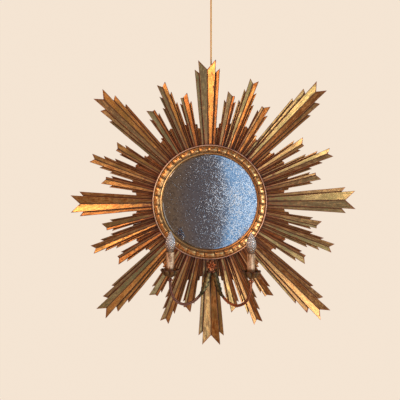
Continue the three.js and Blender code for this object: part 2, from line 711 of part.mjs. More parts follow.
function rosette() {
  const count = ROSETTE_PETALS * 4;
  const profile = [
    ...ROSETTE_SECTION.map(([share, drop]) => [share, rosetteTop - drop]),
    [ROSETTE_STEM, bracketBack],
    [ROSETTE_HOLE, bracketBack],
  ];
  const rings = Array.from({ length: count }, (_, i) => {
    const angle = (i / count) * TURN;
    const petal = 1 - ROSETTE_SCALLOP * Math.cos((angle * ROSETTE_PETALS) / 2) ** 2;
    return profile.map(([share, height]) => {
      const radius = share * ROSETTE_RADIUS * (share > ROSETTE_CORE ? petal : 1);
      return new THREE.Vector3(radius * Math.sin(angle), radius * Math.cos(angle), height);
    });
  });
  const core = turnedOut([
    [0, bracketBack],
    [ROSETTE_CORE * ROSETTE_RADIUS, bracketBack],
    [ROSETTE_CORE * ROSETTE_RADIUS, rosetteTop],
    [0, rosetteTop + ROSETTE_EYE_RISE],
  ], ROSETTE_PETALS * 2);
  const boss = turnedOut([
    [0, bracketBack],
    [BOSS_RADIUS, bracketBack],
    [BOSS_RADIUS, bossTop - BOSS_BEVEL],
    [BOSS_RADIUS - BOSS_BEVEL, bossTop],
    [0, bossTop],
  ], CANDLE_SIDES).translate(0, -BOSS_DROP, 0);
  const tongue = new THREE.BoxGeometry(TONGUE.width, TONGUE.rise, TONGUE.thickness)
    .translate(0, TONGUE.rise / 2, bracketBack + TONGUE.thickness / 2);
  const plateFront = bracketBack + TONGUE.thickness;
  const screw = turnedOut([
    [0, plateFront - TONGUE_SCREW.lap],
    [TONGUE_SCREW.radius, plateFront - TONGUE_SCREW.lap],
    [TONGUE_SCREW.radius, plateFront + TONGUE_SCREW.edge],
    [0, plateFront + TONGUE_SCREW.dome],
  ], PIVOT_SIDES).translate(0, TONGUE_SCREW.rise, 0);
  return join([skin(rings, true), core, boss, tongue, screw]);
}

// The arm's middle line on one side; side is 1 (right) or -1 (left). It leaves the boss
// at right angles to it and ends upright under the drip cup.
function armPath(side) {
  const [x, y] = polar(1, 90 + ARM_START_ANGLE);
  const fromBoss = (reach) => [reach * x, reach * y - BOSS_DROP, bracketBack + ARM_START_OUT];
  const points = [
    fromBoss(BOSS_RADIUS + GAP),
    fromBoss(BOSS_RADIUS + ARM_LEAD),
    ...ARM_CURVE.map(([across, down, out]) => (
      [across * CANDLE_SIDE, -down * ARM_DROP, bracketBack + out * CANDLE_REACH]
    )),
    [CANDLE_SIDE, ARM_TOP - ARM_END, candleOut],
    [CANDLE_SIDE, ARM_TOP, candleOut],
  ];
  return new THREE.CatmullRomCurve3(points.map(([x, y, z]) => new THREE.Vector3(side * x, y, z)));
}

// A ring of points about a path at a share of its length. Each pair is a distance across
// the path, level with the wall, and a distance over it.
function ringAbout(path, share, pairs) {
  const centre = path.getPointAt(share);
  const along = path.getTangentAt(share);
  const across = new THREE.Vector3().crossVectors(new THREE.Vector3(0, 0, 1), along).normalize();
  const over = new THREE.Vector3().crossVectors(along, across);
  return pairs.map(([width, height]) => (
    centre.clone().addScaledVector(across, width).addScaledVector(over, height)
  ));
}

function oval(halfWidth, halfDepth, sides) {
  return Array.from({ length: sides }, (_, i) => {
    const angle = (i / sides) * TURN;
    return [halfWidth * Math.cos(angle), halfDepth * Math.sin(angle)];
  });
}

// An arm is two ribs side by side: an oval, drawn in along the middle of both faces.
function arm(side) {
  const path = armPath(side);
  const section = oval(ARM_HALF_WIDTH, ARM_HALF_DEPTH, ARM_SIDES).map(([width, height]) => {
    const middle = Math.abs(width) < ARM_HALF_WIDTH / ARM_SIDES;
    return [width, middle ? height * (1 - ARM_GROOVE) : height];
  });
  const rings = Array.from({ length: ARM_STEPS + 1 }, (_, i) => (
    ringAbout(path, i / ARM_STEPS, section)
  ));
  return skin(rings, false);
}

// A toothed leaf wrapped round the first part of an arm.
function armLeaf(side) {
  const path = armPath(side);
  const outer = [];
  const inner = [];
  for (let i = 0; i <= LEAF_STEPS; i += 1) {
    const share = i / LEAF_STEPS;
    const t = LEAF_START + (LEAF_END - LEAF_START) * share;
    const swelling = Math.sin(Math.PI * (LEAF_SWELL.start + LEAF_SWELL.span * share));
    const swell = swelling ** LEAF_SWELL.power;
    const tooth = 1 - LEAF_TOOTH_CUT * ((share * LEAF_TEETH) % 1);
    const boreWidth = ARM_HALF_WIDTH + GAP + LEAF_PLAY;
    const boreDepth = ARM_HALF_DEPTH + GAP + LEAF_PLAY;
    const halfWidth = Math.max(LEAF_HALF_WIDTH * swell * tooth, boreWidth + LEAF_WALL);
    const halfDepth = Math.max(LEAF_HALF_DEPTH * swell, boreDepth + LEAF_WALL);
    outer.push(ringAbout(path, t, oval(halfWidth, halfDepth, LEAF_SIDES)));
    inner.push(ringAbout(path, t, oval(boreWidth, boreDepth, LEAF_SIDES)));
  }
  return skin([...outer, ...inner.reverse()], true);
}

function dripCup() {
  const count = CUP_PETALS * 4;
  const span = CUP_RADIUS - CUP_FLOOR_RADIUS;
  const rise = CUP_RIM - CUP_FLOOR;
  const dish = (share) => CUP_FLOOR + rise * share ** CUP_CURVE;
  const top = [0, 0.5, 1].map((share) => [CUP_FLOOR_RADIUS + span * share, dish(share)]);
  const under = [1, 0.5, 0].map((share) => (
    [CUP_FLOOR_RADIUS + span * share + CUP_RIM_FLARE * share, dish(share) - CUP_WALL]
  ));
  const foot = ARM_TOP + GAP;
  const profile = [
    [CUP_HUB_HOLE, CUP_FLOOR],
    ...top,
    ...under,
    [CUP_HUB_RADIUS, foot + CUP_HUB_STEP],
    [CUP_HUB_RADIUS, foot],
    [CUP_HUB_HOLE, foot],
  ].reverse();
  const rings = Array.from({ length: count }, (_, i) => {
    const angle = (i / count) * TURN;
    const valley = Math.cos((angle * CUP_PETALS) / 2) ** 2;
    return profile.map(([radius, height]) => {
      const share = Math.max(0, (radius - CUP_FLOOR_RADIUS) / span);
      const reach = radius * (1 - CUP_SCALLOP * share * valley);
      return new THREE.Vector3(reach * Math.sin(angle), height, reach * Math.cos(angle));
    });
  });
  const plug = turned(
    [[0, foot], [CUP_PLUG_RADIUS, foot], [CUP_PLUG_RADIUS, CUP_FLOOR], [0, CUP_FLOOR]],
    CANDLE_SIDES,
  );
  return join([skin(rings, true), plug]);
}

function candleSleeve() {
  const inner = SLEEVE_RADIUS - SLEEVE_WALL;
  const foot = CUP_FLOOR + GAP;
  return turned([
    [inner, foot],
    [SLEEVE_RADIUS, foot],
    [SLEEVE_RADIUS, SLEEVE_TOP],
    [inner, SLEEVE_TOP],
    [inner, foot],
  ], CANDLE_SIDES);
}

function lampholder() {
  const radius = SLEEVE_RADIUS - SLEEVE_WALL - HOLDER_PLAY;
  const bore = BULB_CAP_RADIUS + GAP;
  const boreFloor = BULB_CAP_TOP - BULB_CAP_LENGTH - CONTACT_LENGTH - GAP;
  return turned([
    [0, CUP_FLOOR + GAP],
    [radius, CUP_FLOOR + GAP],
    [radius, HOLDER_TOP],
    [bore, HOLDER_TOP],
    [bore, boreFloor],
    [0, boreFloor],
  ], CANDLE_SIDES);
}

function bulbCap() {
  const foot = BULB_CAP_TOP - BULB_CAP_LENGTH;
  const [bevelIn, bevelUp] = BULB_CAP_BEVEL;
  return turned([
    [0, foot - CONTACT_LENGTH],
    [CONTACT_RADIUS, foot - CONTACT_LENGTH],
    [CONTACT_RADIUS, foot],
    [BULB_CAP_RADIUS - bevelIn, foot],
    [BULB_CAP_RADIUS, foot + bevelUp],
    [BULB_CAP_RADIUS, BULB_CAP_TOP],
    [0, BULB_CAP_TOP],
  ], CANDLE_SIDES);
}

function bulbOutline(inset) {
  const foot = BULB_CAP_TOP + GAP;
  return BULB_OUTLINE.map(([share, width]) => (
    [width * BULB_RADIUS - inset, foot + (BULB_HEIGHT - inset) * share]
  ));
}

function bulb() {
  const tip = BULB_CAP_TOP + GAP + BULB_HEIGHT;
  const outside = [...bulbOutline(0), [0, tip]];
  const inside = [...bulbOutline(BULB_GLASS), [0, tip - 2 * BULB_GLASS]].reverse();
  return turned([...outside, ...inside, outside[0]], BULB_SIDES);
}

function bracket() {
  const group = new THREE.Group();
  group.position.set(BRACKET_X, -(rimRadius + BRACKET_DROP), 0);
  group.rotation.z = THREE.MathUtils.degToRad(-BRACKET_LEAN);
  group.add(piece('rosette', rosette(), 'copper'));
  for (const [hand, side] of [['left', -1], ['right', 1]]) {
    group.add(piece(`arm_${hand}`, arm(side), 'copper'));
    group.add(piece(`arm_leaf_${hand}`, armLeaf(side), 'leaf'));
    const candle = new THREE.Group();
    candle.position.set(side * CANDLE_SIDE, 0, candleOut);
    candle.add(piece(`drip_cup_${hand}`, dripCup(), 'leaf'));
    candle.add(piece(`lampholder_${hand}`, lampholder(), 'holder'));
    candle.add(piece(`candle_sleeve_${hand}`, candleSleeve(), 'candle'));
    candle.add(piece(`bulb_cap_${hand}`, bulbCap(), 'steel'));
    candle.add(piece(`bulb_${hand}`, bulb(), 'glass'));
    group.add(candle);
  }
  return group;
}

// ---------------------------------------------------------------- the whole mirror

const face = new THREE.Group();
face.rotation.x = Math.PI / 2;
face.add(piece('collar_board', collar(), 'collar'));
face.add(...allRays());
face.add(piece('carved_ring', carvedRing(), 'gilt'));
face.add(piece('mirror_glass', glassDisc(), 'mirror'));
face.add(piece('back_panel', backPanel(), 'panel'));
face.add(...turnButtons());
face.add(piece('screw_eye', screwEye(), 'steel'));
face.add(piece('cord_loop_lower', lowerLoop(), 'cord'));
face.add(piece('hanging_cord', tube(cordPath(), CORD_RADIUS, CORD_SIDES, CORD_STEPS), 'cord'));
face.add(piece('cord_loop_upper', upperLoop(), 'cord'));
face.add(piece('wall_hook', wallHook(), 'brass'));
face.add(bracket());

const mirror = new THREE.Group();
mirror.add(face);

export default mirror;
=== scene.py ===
"""Dresses the sunburst girandole mirror: its forms, finishes, studio and camera.

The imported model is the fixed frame. Most forms are made again here as smooth surfaces, in
metres and in the same frame, and each stands for its node.

Shapes are drawn in the face frame: x to the right, y up, and out, the distance from the
wall, all in millimetres. Form.piece turns them into the part's own axes, in metres.
"""

import logging
from dataclasses import dataclass
from enum import Enum

import bpy
import numpy as np
from mathutils import Matrix, Vector


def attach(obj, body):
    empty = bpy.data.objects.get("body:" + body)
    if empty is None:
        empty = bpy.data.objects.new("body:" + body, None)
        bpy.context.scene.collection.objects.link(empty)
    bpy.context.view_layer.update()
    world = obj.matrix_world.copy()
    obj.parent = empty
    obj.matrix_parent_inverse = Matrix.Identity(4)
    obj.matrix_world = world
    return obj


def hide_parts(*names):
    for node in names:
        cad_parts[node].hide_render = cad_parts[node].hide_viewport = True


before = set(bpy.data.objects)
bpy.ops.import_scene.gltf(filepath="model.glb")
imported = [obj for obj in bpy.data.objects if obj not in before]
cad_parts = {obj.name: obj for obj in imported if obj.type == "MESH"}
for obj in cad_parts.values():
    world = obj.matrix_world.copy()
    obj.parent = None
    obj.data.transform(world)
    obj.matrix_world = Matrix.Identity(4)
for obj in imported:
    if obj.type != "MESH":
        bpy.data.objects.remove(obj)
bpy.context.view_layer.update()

log = logging.getLogger("mirror")
MM = 0.001
TURN = 2 * np.pi
Socket = bpy.types.NodeSocket
Piece = bpy.types.Object
Material = bpy.types.Material
Pair = tuple[float, float]
Point = tuple[float, float, float]
Amount = np.ndarray | float


class Hand(Enum):
    """The two sides of the candle bracket."""

    LEFT = -1
    RIGHT = 1

    @property
    def word(self) -> str:
        """The side's name, as nodes and bodies use it."""
        return self.name.lower()


class Family(Enum):
    """The four kinds of ray."""

    CARDINAL = "cardinal"
    DIAGONAL = "diagonal"
    MEDIUM = "medium"
    SHORT = "short"


# ---------------------------------------------------------------- numbers and surfaces


def smooth(low: float, high: float, value: np.ndarray) -> np.ndarray:
    """0 below low, 1 above high and a soft S between: 3t^2 - 2t^3."""
    t = np.clip((value - low) / (high - low), 0, 1)
    return t * t * (3 - 2 * t)


def bell(value: Amount, middle: float, width: float, power: int = 2) -> Amount:
    """1 at the middle, falling away on both sides: exp(-((value - middle) / width)^power)."""
    return np.exp(-((value - middle) / width) ** power)


def stacked(*parts: Amount) -> np.ndarray:
    """Values stretched to the shape that they share, side by side on a new last axis."""
    return np.stack(np.broadcast_arrays(*parts), axis=-1)


def polar(radius: Amount, angle: np.ndarray, out: Amount) -> np.ndarray:
    """Points at a radius, a clock angle in radians and a distance from the wall."""
    return stacked(radius * np.sin(angle), radius * np.cos(angle), out)


def turned(points: np.ndarray, degrees: float) -> np.ndarray:
    """Turns points clockwise about the out axis, as on a clock's face.

    Args:
        points: places in the face frame.
        degrees: how far they turn.

    Returns:
        The turned points: x cos + y sin, y cos - x sin, and out as it was.
    """
    angle = np.radians(degrees)
    x, y, out = np.moveaxis(points, -1, 0)
    cos, sin = np.cos(angle), np.sin(angle)
    return np.stack([x * cos + y * sin, y * cos - x * sin, out], axis=-1)


def unit(vectors: np.ndarray) -> np.ndarray:
    """The same directions with length 1."""
    return vectors / np.linalg.norm(vectors, axis=-1, keepdims=True)


def fillet(profile: list[Pair], radius: float, steps: int = 4) -> np.ndarray:
    """Rounds the corners of an open profile.

    Each inner corner becomes a quadratic curve that starts and ends at most radius from
    the corner, and no further than a set share of the shorter side.

    Args:
        profile: the corners, as pairs.
        radius: distance from a corner to where its curve starts, in mm.
        steps: points on each curve.

    Returns:
        The points of the rounded profile.
    """
    points = np.array(profile, float)
    share = 0.45
    rounded = [points[:1]]
    t = np.linspace(0, 1, steps)[:, None]
    for before, corner, after in zip(points[:-2], points[1:-1], points[2:]):
        reach = min(radius, share * np.linalg.norm(before - corner),
                    share * np.linalg.norm(after - corner))
        start = corner + unit(before - corner) * reach
        end = corner + unit(after - corner) * reach
        rounded.append((1 - t) ** 2 * start + 2 * t * (1 - t) * corner + t ** 2 * end)
    rounded.append(points[-1:])
    return np.concatenate(rounded)


class Ripple:
    """Smooth unevenness of hand work: a sum of sine waves with seeded directions."""

    strength = 1.6

    def __init__(self, seed: int, longest: float, shortest: float, waves: int = 9) -> None:
        """Draws the waves.

        Args:
            seed: start of the random draws.
            longest: longest wave, in mm.
            shortest: shortest wave, in mm.
            waves: how many waves are added up.
        """
        draw = np.random.default_rng(seed)
        lengths = np.geomspace(longest, shortest, waves)
        self.vectors = unit(draw.normal(size=(waves, 3))) * (TURN / lengths)[:, None]
        self.phases = draw.uniform(0, TURN, waves)
        self.sizes = lengths / lengths.sum()

    def __call__(self, points: np.ndarray, stretch: Point = (1, 1, 1)) -> np.ndarray:
        """The unevenness at each point, about -1 to 1.

        Args:
            points: places in mm; the last axis holds the three coordinates.
            stretch: how much longer the waves are along each coordinate.

        Returns:
            One value for each point.
        """
        phase = (points / np.array(stretch)) @ self.vectors.T + self.phases
        return self.strength * np.sin(phase) @ self.sizes


class Form:
    """Closed surfaces that make up one piece, with named values at their points."""

    def __init__(self) -> None:
        """Starts with no surface."""
        self.points: list[np.ndarray] = []
        self.quads: list[np.ndarray] = []
        self.tris: list[np.ndarray] = []
        self.values: dict[str, list[np.ndarray]] = {}
        self.size = 0

    def add(self, grid: np.ndarray, ring: bool = False, **values: Amount) -> "Form":
        """Adds the closed surface through a grid of points.

        Each row of the grid is a closed section. With ring the last row joins the first;
        otherwise each end is closed by a fan to the middle of its row. The faces are
        turned round if the volume inside, the sum of a . (b x c) / 6, is negative.

        Args:
            grid: points in the face frame, rows by columns by 3, in mm.
            ring: whether the last row joins the first.
            values: named values, one for each point or one for all.

        Returns:
            The form itself.
        """
        rows, columns = grid.shape[:2]
        index = np.arange(rows * columns).reshape(rows, columns)
        here, there = (index, np.roll(index, -1, 0)) if ring else (index[:-1], index[1:])
        sides = [here, np.roll(here, -1, 1), np.roll(there, -1, 1), there]
        quads = np.stack(sides, axis=-1).reshape(-1, 4)
        points = grid.reshape(-1, 3)
        tris = np.empty((0, 3), int)
        if not ring:
            fans = []
            for pole, row in ((0, index[0][::-1]), (1, index[-1])):
                middle = np.full(columns, rows * columns + pole)
                fans.append(np.stack([middle, row, np.roll(row, -1)], axis=-1))
            tris = np.concatenate(fans)
            points = np.concatenate([points, grid[:1].mean(1), grid[-1:].mean(1)])
        corners = points[np.concatenate([quads[:, :3], quads[:, [0, 2, 3]], tris])]
        inside = np.einsum("ij,ij->", corners[:, 0], np.cross(corners[:, 1], corners[:, 2]))
        if inside < 0:
            quads, tris = quads[:, ::-1], tris[:, ::-1]
        self.points.append(points)
        self.quads.append(quads + self.size)
        self.tris.append(tris + self.size)
        for name, value in values.items():
            full = np.broadcast_to(np.asarray(value, float), (rows, columns))
            ends = [] if ring else [full[:1].mean(1), full[-1:].mean(1)]
            self.values.setdefault(name, []).append(np.concatenate([full.ravel(), *ends]))
        self.size += len(points)
        return self

    def mesh(self, name: str) -> bpy.types.Mesh:
        """Makes a smooth-shaded mesh in the part's axes, in metres.

        Args:
            name: the mesh's name.

        Returns:
            The mesh, with each named value as an attribute of its points.
        """
        x, y, out = np.concatenate(self.points).T * MM
        quads, tris = np.concatenate(self.quads), np.concatenate(self.tris)
        mesh = bpy.data.meshes.new(name)
        mesh.vertices.add(len(x))
        mesh.vertices.foreach_set("co", np.stack([x, -out, y], axis=-1).ravel())
        corners = np.concatenate([quads.ravel(), tris.ravel()])
        starts = np.concatenate([np.arange(0, quads.size, 4),
                                 quads.size + np.arange(0, tris.size, 3)])
        mesh.loops.add(len(corners))
        mesh.loops.foreach_set("vertex_index", corners)
        mesh.polygons.add(len(starts))
        mesh.polygons.foreach_set("loop_start", starts)
        mesh.update(calc_edges=True)
        mesh.polygons.foreach_set("use_smooth", np.ones(len(starts), bool))
        for label, parts in self.values.items():
            attribute = mesh.attributes.new(label, "FLOAT", "POINT")
            attribute.data.foreach_set("value", np.concatenate(parts))
        return mesh

    def piece(self, name: str, material: Material, slot: str, body: str = "root",
              replaces: tuple[str, ...] = ()) -> Piece:
        """Makes the form a piece of the object.

        Args:
            name: the piece's name.
            material: its finish.
            slot: the record's material slot that the finish belongs to; not used.
            body: the body that it rides on.
            replaces: nodes that it stands for.

        Returns:
            The new object, at the origin.
        """
        made = bpy.data.objects.new(name, self.mesh(name))
        made.data.materials.append(material)
        bpy.context.scene.collection.objects.link(made)
        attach(made, body)
        if replaces:
            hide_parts(*replaces)
        log.info("%s: %d points, rides on %s", name, self.size, body)
        return made


@dataclass(frozen=True)
class Path:
    """A line in space that sections are carried along."""

    points: np.ndarray
    closed: bool = False

    @classmethod
    def through(cls, knots: list[Point], count: int) -> "Path":
        """A smooth path through knots.

        Between two knots it is the centripetal Catmull-Rom curve: a cubic whose slope at
        each knot follows its neighbours, weighted by the square root of their distances.

        Args:
            knots: the places that it passes, in mm.
            count: how many points it has.

        Returns:
            The path, with its points evenly spread.
        """
        p = np.array(knots, float)
        p = np.concatenate([[2 * p[0] - p[1]], p, [2 * p[-1] - p[-2]]])
        gaps = np.sqrt(np.linalg.norm(np.diff(p, axis=0), axis=1))[:, None]
        slopes = np.diff(p, axis=0) / gaps
        joint = slopes[:-1] + slopes[1:] - (p[2:] - p[:-2]) / (gaps[:-1] + gaps[1:])
        t = np.linspace(0, 1, 24, endpoint=False)[:, None]
        spans = [(2 * t**3 - 3 * t**2 + 1) * start + (t**3 - 2 * t**2 + t) * gap * leave
                 + (3 * t**2 - 2 * t**3) * end + (t**3 - t**2) * gap * arrive
                 for start, end, gap, leave, arrive
                 in zip(p[1:-2], p[2:-1], gaps[1:-1], joint[:-1], joint[1:])]
        fine = np.concatenate([*spans, p[-2:-1]])
        run = np.concatenate([[0], np.cumsum(np.linalg.norm(np.diff(fine, axis=0), axis=1))])
        even = np.linspace(0, run[-1], count)
        return cls(np.stack([np.interp(even, run, column) for column in fine.T], axis=-1))

    @property
    def length(self) -> float:
        """The path's length in mm."""
        return float(np.linalg.norm(np.diff(self.points, axis=0), axis=1).sum())

    def axes(self, side: Point = (0, 0, 1)) -> tuple[np.ndarray, np.ndarray]:
        """Directions across the path and over it.

        across is side x along, and over is along x across, so the section keeps its top
        towards side wherever the path goes.

        Args:
            side: a direction that the path never runs in.

        Returns:
            The directions across and over, one of each for every point.
        """
        if self.closed:
            steps = np.roll(self.points, -1, 0) - np.roll(self.points, 1, 0)
        else:
            steps = np.gradient(self.points, axis=0)
        along = unit(steps)
        across = unit(np.cross(np.array(side, float), along))
        return across, np.cross(along, across)

    def sweep(self, width: np.ndarray, height: np.ndarray, side: Point = (0, 0, 1)) -> np.ndarray:
        """Carries a section along the path.

        Args:
            width: the section's points across the path, rows by columns or one row.
            height: the same over it.
            side: a direction that the path never runs in.

        Returns:
            The grid of points.
        """
        across, over = self.axes(side)
        return (self.points[:, None] + across[:, None] * width[..., None]
                + over[:, None] * height[..., None])

    def tube(self, radius: Amount, sides: int, side: Point = (0, 0, 1)) -> np.ndarray:
        """Carries a circle along the path.

        Args:
            radius: the circle's radius, or a column with one for each point of the path.
            sides: points round the circle.
            side: a direction that the path never runs in.

        Returns:
            The grid of points.
        """
        angle = circle(sides)
        return self.sweep(radius * np.cos(angle), radius * np.sin(angle), side)


def circle(steps: int) -> np.ndarray:
    """Angles once round without the last, as a single row."""
    return np.arange(steps)[None] / steps * TURN


def lathe(profile: np.ndarray, sides: int) -> np.ndarray:
    """A profile of (radius, out) pairs turned about the out axis, one row for each pair."""
    return polar(profile[:, :1], circle(sides), profile[:, 1:])


# ---------------------------------------------------------------- finishes

Colour = Point
Value = float | Colour | Socket


class Graph:
    """A node tree being built, with short calls for the nodes that this object needs."""

    def __init__(self, tree: bpy.types.NodeTree) -> None:
        """Takes the tree to build in."""
        self.tree = tree

    def node(self, kind: str, inputs: dict[str | int, Value], **settings: object) -> bpy.types.Node:
        """Adds a node.

        Args:
            kind: the node's type.
            inputs: what each named or numbered input gets, a value or another socket.
            settings: the node's own settings.

        Returns:
            The node.
        """
        made = self.tree.nodes.new(kind)
        for key, value in settings.items():
            setattr(made, key, value)
        for key, value in inputs.items():
            socket = made.inputs[key]
            if isinstance(value, Socket):
                self.tree.links.new(value, socket)
            elif socket.type == "RGBA":
                socket.default_value = (*value, 1)
            else:
                socket.default_value = value
        return made

    def math(self, operation: str, *values: Value) -> Socket:
        """The result of one arithmetic step."""
        return self.node("ShaderNodeMath", dict(enumerate(values)), operation=operation).outputs[0]

    def times(self, first: Value, second: Value) -> Socket:
        """The product of two values."""
        return self.math("MULTIPLY", first, second)

    def sum(self, *terms: tuple[Value, float]) -> Socket:
        """Adds weighted values.

        Args:
            terms: the values, each with its weight.

        Returns:
            The sum.
        """
        total = 0.0
        for value, weight in terms:
            total = self.math("MULTIPLY_ADD", value, weight, total)
        return total

    def spread(self, value: Value, low: Value, high: Value) -> Socket:
        """A soft S from 0 at low to 1 at high."""
        inputs = {"Value": value, "From Min": low, "From Max": high}
        return self.node("ShaderNodeMapRange", inputs, interpolation_type="SMOOTHSTEP").outputs[0]

    def mask(self, low: float, high: float, *terms: tuple[Value, float]) -> Socket:
        """A soft S over the weighted sum of the terms, from 0 at low to 1 at high."""
        return self.spread(self.sum(*terms), low, high)

    def mix(self, share: Value, first: Value, second: Value) -> Socket:
        """A colour between two others."""
        inputs = {0: share, 6: first, 7: second}
        return self.node("ShaderNodeMix", inputs, data_type="RGBA").outputs[2]

    def noise(self, vector: Socket, scale: Value, detail: float = 3, rough: float = 0.55) -> Socket:
        """Cloudy noise, about 0.5 on average."""
        inputs = {"Vector": vector, "Scale": scale, "Detail": detail, "Roughness": rough}
        return self.node("ShaderNodeTexNoise", inputs).outputs[0]

    def value(self, name: str) -> Socket:
        """A value that the mesh holds at each point."""
        return self.node("ShaderNodeAttribute", {}, attribute_name=name).outputs["Fac"]

    def place(self) -> Socket:
        """Object coordinates, in metres."""
        return self.node("ShaderNodeTexCoord", {}).outputs["Object"]

    def stretched(self, vector: Socket, scale: Colour) -> Socket:
        """A vector scaled along each axis."""
        return self.node("ShaderNodeMapping", {"Vector": vector, "Scale": scale}).outputs[0]

    def joined(self, x: Value, y: Value, z: Value) -> Socket:
        """A vector from three values."""
        return self.node("ShaderNodeCombineXYZ", {0: x, 1: y, 2: z}).outputs[0]

    def bump(self, height: Socket, distance: float) -> Socket:
        """A normal that follows a height, whose full range stands for a distance in metres."""
        return self.node("ShaderNodeBump", {"Height": height, "Distance": distance}).outputs[0]

    def surface(self, inputs: dict[str, Value]) -> None:
        """Ends a material with its shader."""
        shader = self.node("ShaderNodeBsdfPrincipled", inputs)
        self.node("ShaderNodeOutputMaterial", {"Surface": shader.outputs[0]})


def new_material(name: str) -> tuple[Material, Graph]:
    """Starts a material.

    Args:
        name: its name.

    Returns:
        The material, without nodes, and the graph to build them in.
    """
    material = bpy.data.materials.new(name)
    material.use_nodes = True
    material.node_tree.nodes.clear()
    return material, Graph(material.node_tree)


class Effect:
    """A shader node group that several finishes share, built once."""

    name: str
    inputs: dict[str, str]
    outputs: dict[str, str]

    @classmethod
    def build(cls, graph: Graph, given: dict[str, Socket]) -> dict[str, Socket]:
        """Makes the group's nodes from its inputs and returns its outputs."""
        raise NotImplementedError

    @classmethod
    def put(cls, graph: Graph, values: dict[str, Value]) -> dict[str, Socket]:
        """Places the effect in a material.

        Args:
            graph: the material's graph.
            values: what the effect's inputs get.

        Returns:
            The effect's outputs by name.
        """
        group = bpy.data.node_groups.get(cls.name)
        if group is None:
            group = bpy.data.node_groups.new(cls.name, "ShaderNodeTree")
            for way, sockets in (("INPUT", cls.inputs), ("OUTPUT", cls.outputs)):
                for name, kind in sockets.items():
                    kind = f"NodeSocket{kind}"
                    group.interface.new_socket(name, in_out=way, socket_type=kind)
            inner = Graph(group)
            given = inner.node("NodeGroupInput", {}).outputs
            results = cls.build(inner, {name: given[name] for name in cls.inputs})
            inner.node("NodeGroupOutput", results)
        placed = graph.node("ShaderNodeGroup", values, node_tree=group)
        return {name: placed.outputs[name] for name in cls.outputs}


class AgedLeaf(Effect):
    """Metal leaf over coloured bole: tarnished in clouds, rubbed at edges, with painted shade and
    some dirt in hollows.
    """

    name = "aged leaf"
    inputs = {"Leaf": "Color", "Tarnish": "Color", "Bole": "Color", "Shade_and_Grime": "Color",
              "Edge": "Float", "Hollow": "Float", "Tone": "Float", "Grain": "Vector",
              "Worn": "Float", "Tarnished": "Float", "Shade_and_Dirt": "Float", "Roughness": "Float"}
    outputs = {"Colour": "Color", "Roughness": "Float", "Metallic": "Float", "Height": "Float"}

    @classmethod
    def build(cls, graph: Graph, given: dict[str, Socket]) -> dict[str, Socket]:
        """Lays clouds of tarnish, streaks along the grain, worn spots, and then painted shade with
        some dirt in hollows.

        Args:
            graph: the group's graph.
            given: its inputs by name.

        Returns:
            The colour, its gloss and metal, and the height for a bump.
        """
        place = graph.place()
        cloud = graph.noise(place, 13, 3)
        patch = graph.noise(place, 70, 4, 0.65)
        fine = graph.noise(place, 520, 3)
        streak = graph.noise(given["Grain"], 1, 5, 0.65)
        tarnish = graph.mask(1.36, 1.7, (cloud, 0.8), (streak, 1.2), (given["Tone"], 0.4),
                             (given["Tarnished"], 0.5))
        shade = graph.mask(1.08, 1.45, (streak, 1.4), (patch, 0.8), (given["Tone"], 0.3))
        dull = graph.mix(0.74, given["Leaf"], given["Bole"])
        colour = graph.mix(shade, dull, given["Leaf"])
        colour = graph.mix(tarnish, colour, given["Tarnish"])
        rubbed = graph.times(given["Edge"], given["Worn"])
        worn = graph.mask(1.1, 1.4, (streak, 0.9), (patch, 0.8), (rubbed, 0.9),
                          (given["Worn"], 0.35))
        colour = graph.mix(worn, colour, given["Bole"])
        # Painted shade with a little real dirt: hollow values times their strength, plus noise,
        # darken the colour towards the darkest colour.
        laid = graph.times(given["Hollow"], given["Shade_and_Dirt"])
        shade_and_grime = graph.mask(0.3, 1.05, (laid, 1), (patch, 0.35), (fine, 0.2))
        colour = graph.mix(shade_and_grime, colour, given["Shade_and_Grime"])
        rough = graph.sum((given["Roughness"], 1), (streak, 0.14), (worn, 0.22), (shade_and_grime, 0.3),
                          (tarnish, 0.08))
        metal = graph.math("SUBTRACT", 1, graph.sum((worn, 0.7), (shade_and_grime, 0.5)))
        height = graph.sum((streak, 0.55), (fine, 0.25), (patch, 0.3), (worn, -0.25))
        return {"Colour": colour, "Roughness": rough, "Metallic": metal, "Height": height}


class Grain(Effect):
    """Long wandering streaks, as in wood or drawn metal."""

    name = "grain"
    inputs = {"Vector": "Vector", "Fineness": "Float"}
    outputs = {"Streak": "Float", "Pore": "Float"}

    @classmethod
    def build(cls, graph: Graph, given: dict[str, Socket]) -> dict[str, Socket]:
        """Lays noise along the stretched vector, and finer noise as pores.

        Args:
            graph: the group's graph.
            given: its inputs by name.

        Returns:
            The streaks and the pores.
        """
        streak = graph.noise(given["Vector"], given["Fineness"], 4, 0.6)
        pore = graph.noise(given["Vector"], graph.times(given["Fineness"], 5), 2, 0.7)
        return {"Streak": streak, "Pore": graph.spread(pore, 0.58, 0.72)}


@dataclass(frozen=True)
class Finish:
    """A named finish, whose kinds each lay their own nodes."""

    name: str

    def lay(self, graph: Graph) -> None:
        """Lays the finish's nodes in a material's graph."""
        raise NotImplementedError

    def make(self) -> Material:
        """Makes the material.

        Returns:
            The material, with the finish laid in it.
        """
        material, graph = new_material(self.name)
        self.lay(graph)
        return material


